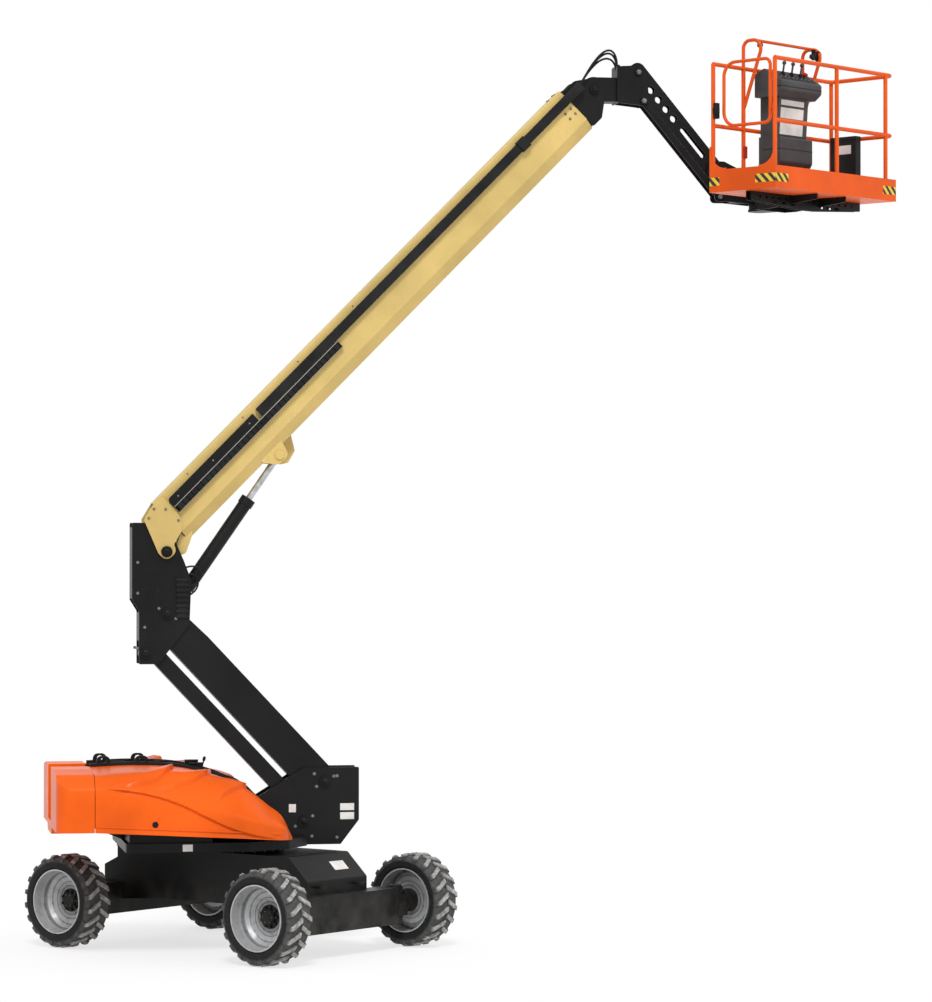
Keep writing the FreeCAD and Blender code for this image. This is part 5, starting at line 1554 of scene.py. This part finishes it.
# ------------------------------------------------------------------ platform
@dataclass
class PlatformTrim:
    """Hazard tapes, gate latch, blank plate, foot switch and anchor tags of the platform.

    Attributes:
        palette: the shared finishes.
        half: half length of the platform.
        front: near face of the skirt.
        back: far face of the skirt.
    """

    palette: Palette
    half: float = 0.900
    front: float = -0.890
    back: float = -0.150

    def dress(self) -> None:
        """Add the pieces of the platform, measured from its turning axis and floor."""
        bench = level_bench("platform_turn", PLATFORM_YAW)
        low, high = 0.058, 0.132
        end = -self.half
        side_run = tuple(bench.way((1.0, 0.0, 0.0)))
        end_run = tuple(bench.way((0.0, -1.0, 0.0)))
        along = HazardFinish("hazard_tape_side", side_run, 0.085).build()
        across = HazardFinish("hazard_tape_end", end_run, 0.085).build()
        for name, material, spans in (
                ("tape_side", along, ((-self.half, -0.715), (0.70, self.half - 0.003))),
                ("tape_end", across, ((self.front, -0.665), (-0.262, self.back)))):
            for index, (start, stop) in enumerate(spans):
                if name == "tape_side":
                    part = bench.block((start, self.front - 0.0004, low), (stop, self.front + 0.001, high))
                else:
                    part = bench.block((end - 0.0004, start, low), (end + 0.001, stop, high))
                dressed(mesh_from_arrays(f"{name}_{index}", *part), material, "platform", "platform_orange")
        plate = bench.block((0.7797, -0.47, 0.46), (0.7825, -0.31, 0.54))
        self.palette.add("box_plate", [plate], Finish.PLATE, "platform")
        lid = bench.block((0.7757, -0.5275, 0.585), (0.8565, -0.2315, 0.6215))
        self.palette.add("box_lid", [lid], Finish.DARK, "platform", 0.006)
        latch = [bench.block((-0.895, -0.225, 0.66), (-0.845, -0.186, 0.80)),
                 bench.block((-0.902, -0.262, 0.70), (-0.890, -0.186, 0.76))]
        self.palette.add("gate_latch", latch, Finish.DARK, "platform", 0.005)
        pedal = [bench.block((-0.46, -0.44, 0.005), (-0.24, -0.30, 0.03)),
                 bench.block((-0.44, -0.43, 0.028), (-0.26, -0.31, 0.075))]
        self.palette.add("foot_switch", pedal, Finish.DARK, "platform", 0.008)
        tags = [bench.block((x - 0.022, -0.205, z), (x + 0.022, -0.186, z + 0.11))
                for x, z in ((-0.44, 0.34), (0.44, 0.40))]
        self.palette.add("anchor_tags", tags, Finish.RED, "platform", 0.006)
        horn = [(-0.05, 0.0), (-0.05, 0.022), (-0.01, 0.026), (0.0, 0.03), (0.02, 0.045), (0.035, 0.052),
                (0.038, 0.05), (0.02, 0.03), (0.02, 0.0)]
        bracket = bench.block((0.405, -0.33, 1.30), (0.437, -0.30, 1.395))
        self.palette.add("horn", [bench.turned((0.415, -0.335, 1.33), (0.0, -1.0, -0.1), horn), bracket],
                         Finish.DARK, "platform")
        lamp = [(-0.012, 0.0), (-0.012, 0.02), (0.02, 0.024), (0.026, 0.02), (0.028, 0.0)]
        self.palette.add("hoop_lamp", [bench.turned((-0.425, -0.345, 1.35), (0.0, -1.0, 0.0), lamp)],
                         Finish.DARK, "platform")


@dataclass
class ConsoleTrim:
    """Controls, boots and blank panels of the console.

    Attributes:
        palette: the shared finishes.
        back: the console's back face.
        sticks: places of the levers along the desk.
    """

    palette: Palette
    back: float = -0.1933
    sticks: tuple[float, ...] = (-0.130, 0.0, 0.130)

    def dress(self) -> None:
        """Add the pieces of the console, measured as the platform is."""
        bench = level_bench("platform_turn", PLATFORM_YAW)
        lean = np.array([0.0, -0.025, 0.14])
        ribs = np.array([(0.0, 0.034), (0.008, 0.036), (0.014, 0.028), (0.022, 0.031), (0.028, 0.023),
                         (0.036, 0.026), (0.042, 0.018), (0.05, 0.02), (0.058, 0.012), (0.066, 0.0)])
        profile = np.concatenate([[(0.0, 0.0)], ribs])
        boots = [bench.turned((x, self.back - 0.181, 1.082), lean, profile, 24) for x in self.sticks]
        self.palette.add("lever_boots", boots, Finish.DARK, "platform")
        slope = np.array([0.0, -0.190, -0.120]) / np.hypot(0.190, 0.120)
        rise = np.array([0.0, -0.120, 0.190]) / np.hypot(0.190, 0.120)
        desk = np.array([0.0, self.back - 0.110, 1.160])
        knob = [(-0.002, 0.0), (-0.002, 0.009), (0.006, 0.009), (0.007, 0.005), (0.024, 0.004), (0.028, 0.0)]
        toggles = [bench.turned(desk + slope * 0.165 + np.array([x, 0, 0]), rise, knob, 12)
                   for x in np.arange(-0.24, 0.25, 0.06)]
        self.palette.add("toggles", toggles, Finish.BOLT, "platform")
        stop = [(-0.002, 0.0), (-0.002, 0.016), (0.012, 0.016), (0.014, 0.026), (0.026, 0.027),
                (0.033, 0.02), (0.035, 0.0)]
        spot = desk + slope * 0.06 + np.array([0.225, 0, 0])
        self.palette.add("stop_button", [bench.turned(spot, rise, stop)], Finish.RED, "platform")
        inset = [desk + slope * a + np.array([x, 0, 0]) - rise * 0.001 for a, x in
                 ((0.02, -0.27), (0.20, -0.27), (0.20, 0.27), (0.02, 0.27))]
        self.palette.add("desk_plate", [bench.plate(inset, rise * 0.003)], Finish.DARK, "platform")
        self.panels(bench)

    def panels(self, bench: Bench) -> None:
        """Blank plates down the console's face, which leans in towards its foot.

        Args:
            bench: the platform's bench.
        """
        top, foot = np.array([0.0, self.back - 0.215, 0.905]), np.array([0.0, self.back - 0.190, 0.540])
        run = foot - top
        sheets = []
        for start, stop in ((0.07, 0.20), (0.26, 0.52), (0.58, 0.92)):
            outline = [top + run * a + np.array([x, 0.001, 0.0]) for a, x in
                       ((start, -0.185), (start, 0.150), (stop, 0.150), (stop, -0.185))]
            sheets.append(bench.plate(outline, (0.0, -0.004, 0.0)))
        self.palette.add("console_plates", sheets, Finish.PLATE, "platform")
        seams = [bench.block((-0.302, self.back - 0.302, 0.985), (0.302, self.back - 0.16, 0.991)),
                 bench.block((-0.242, self.back - 0.242, 0.43), (0.242, self.back - 0.05, 0.436))]
        self.palette.add("console_seams", seams, Finish.DARK, "platform")


# ------------------------------------------------------------------ studio
@dataclass
class Studio:
    """Floor, lamps, world and camera.

    Attributes:
        bearing: how far the camera looks round from straight across the boom, degrees.
        distance: from the slewing axis along the view.
        aside: how far the camera stands right of the slewing axis.
        height: the camera's height.
        focal: focal length in image widths of the long side.
        rise: upward tilt, degrees.
    """

    bearing: float = 10.0
    distance: float = 32.0
    aside: float = 2.0
    height: float = 3.57
    focal: float = 3600.0 / 1002.0
    rise: float = 0.684

    def camera(self) -> None:
        """Stand the camera and make it the scene's."""
        axis = Vector(joint_named("swing")["pos_m"])
        angle = math.radians(self.bearing)
        right = Vector((math.cos(angle), -math.sin(angle), 0.0))
        ahead = Vector((math.sin(angle), math.cos(angle), 0.0))
        spot = Vector((axis.x, axis.y, 0.0)) + right * self.aside - ahead * self.distance
        data = bpy.data.cameras.new("camera")
        data.sensor_width = 36.0
        data.lens = 36.0 * self.focal
        data.clip_end = 200.0
        obj = bpy.data.objects.new("camera", data)
        obj.location = (spot.x, spot.y, self.height)
        obj.rotation_euler = (math.radians(90.0 + self.rise), 0.0, -angle)
        bpy.context.scene.collection.objects.link(obj)
        bpy.context.scene.camera = obj

    def lamp(self, name: str, aim: tuple[float, float, float], energy: float, angle: float) -> None:
        """Add a soft sun.

        Args:
            name: the lamp's name.
            aim: direction in which it shines.
            energy: its strength.
            angle: its width in the sky, degrees.
        """
        data = bpy.data.lights.new(name, "SUN")
        data.energy = energy
        data.angle = math.radians(angle)
        obj = bpy.data.objects.new(name, data)
        obj.rotation_euler = Vector(aim).to_track_quat("-Z", "Y").to_euler()
        bpy.context.scene.collection.objects.link(obj)

    def world(self) -> None:
        """White surroundings: plain light on the part, pure white to camera and mirror rays."""
        world = bpy.data.worlds.new("studio")
        world.use_nodes = True
        tree = world.node_tree
        light = tree.nodes["Background"]
        light.inputs["Color"].default_value = (1.0, 1.0, 1.0, 1.0)
        light.inputs["Strength"].default_value = 0.62
        seen = tree.nodes.new("ShaderNodeBackground")
        seen.inputs["Strength"].default_value = 1.0
        seen.inputs["Color"].default_value = (1.0, 1.0, 1.0, 1.0)
        path = tree.nodes.new("ShaderNodeLightPath")
        camera, glossy, through = (Socket(tree, path.outputs[f"Is {ray} Ray"])
                                   for ray in ("Camera", "Glossy", "Transmission"))
        mix = tree.nodes.new("ShaderNodeMixShader")
        tree.links.new((camera + glossy + through).clamped().output, mix.inputs[0])
        tree.links.new(light.outputs[0], mix.inputs[1])
        tree.links.new(seen.outputs[0], mix.inputs[2])
        tree.links.new(mix.outputs[0], tree.nodes["World Output"].inputs["Surface"])
        bpy.context.scene.world = world

    def floor(self) -> None:
        """Lay the floor under the part."""
        low, high = CAD_BOX
        middle = (np.array(low) + np.array(high)) / 2
        half = 60.0
        points = np.array([[-half, -half, 0.0], [half, -half, 0.0], [half, half, 0.0], [-half, half, 0.0]])
        points[:, :2] += middle[:2]
        points[:, 2] = low[2] - 0.001
        obj = mesh_from_arrays("floor", points, np.array([[0, 1, 2, 3]]))
        obj.data.materials.append(FloorFinish().build())

    def build(self) -> None:
        """Set the whole stage."""
        self.camera()
        self.world()
        self.floor()
        self.lamp("key", (0.14, 0.80, -0.95), 1.75, 14.0)
        self.lamp("fill", (-0.7, 0.5, -0.35), 0.35, 40.0)
        bpy.context.scene.view_settings.view_transform = "Standard"


def main() -> None:
    """Build every class in order."""
    Studio().build()
    palette = Palette()
    CadPaint(palette).dress()
    for sub_assembly in (Wheels, ChassisTrim, TurntableTrim, Hood, UprightTrim, BoomTrim, NoseTrim, JibTrim,
                         PlatformTrim, ConsoleTrim):
        sub_assembly(palette).dress()


if __name__ == "__main__":
    main()
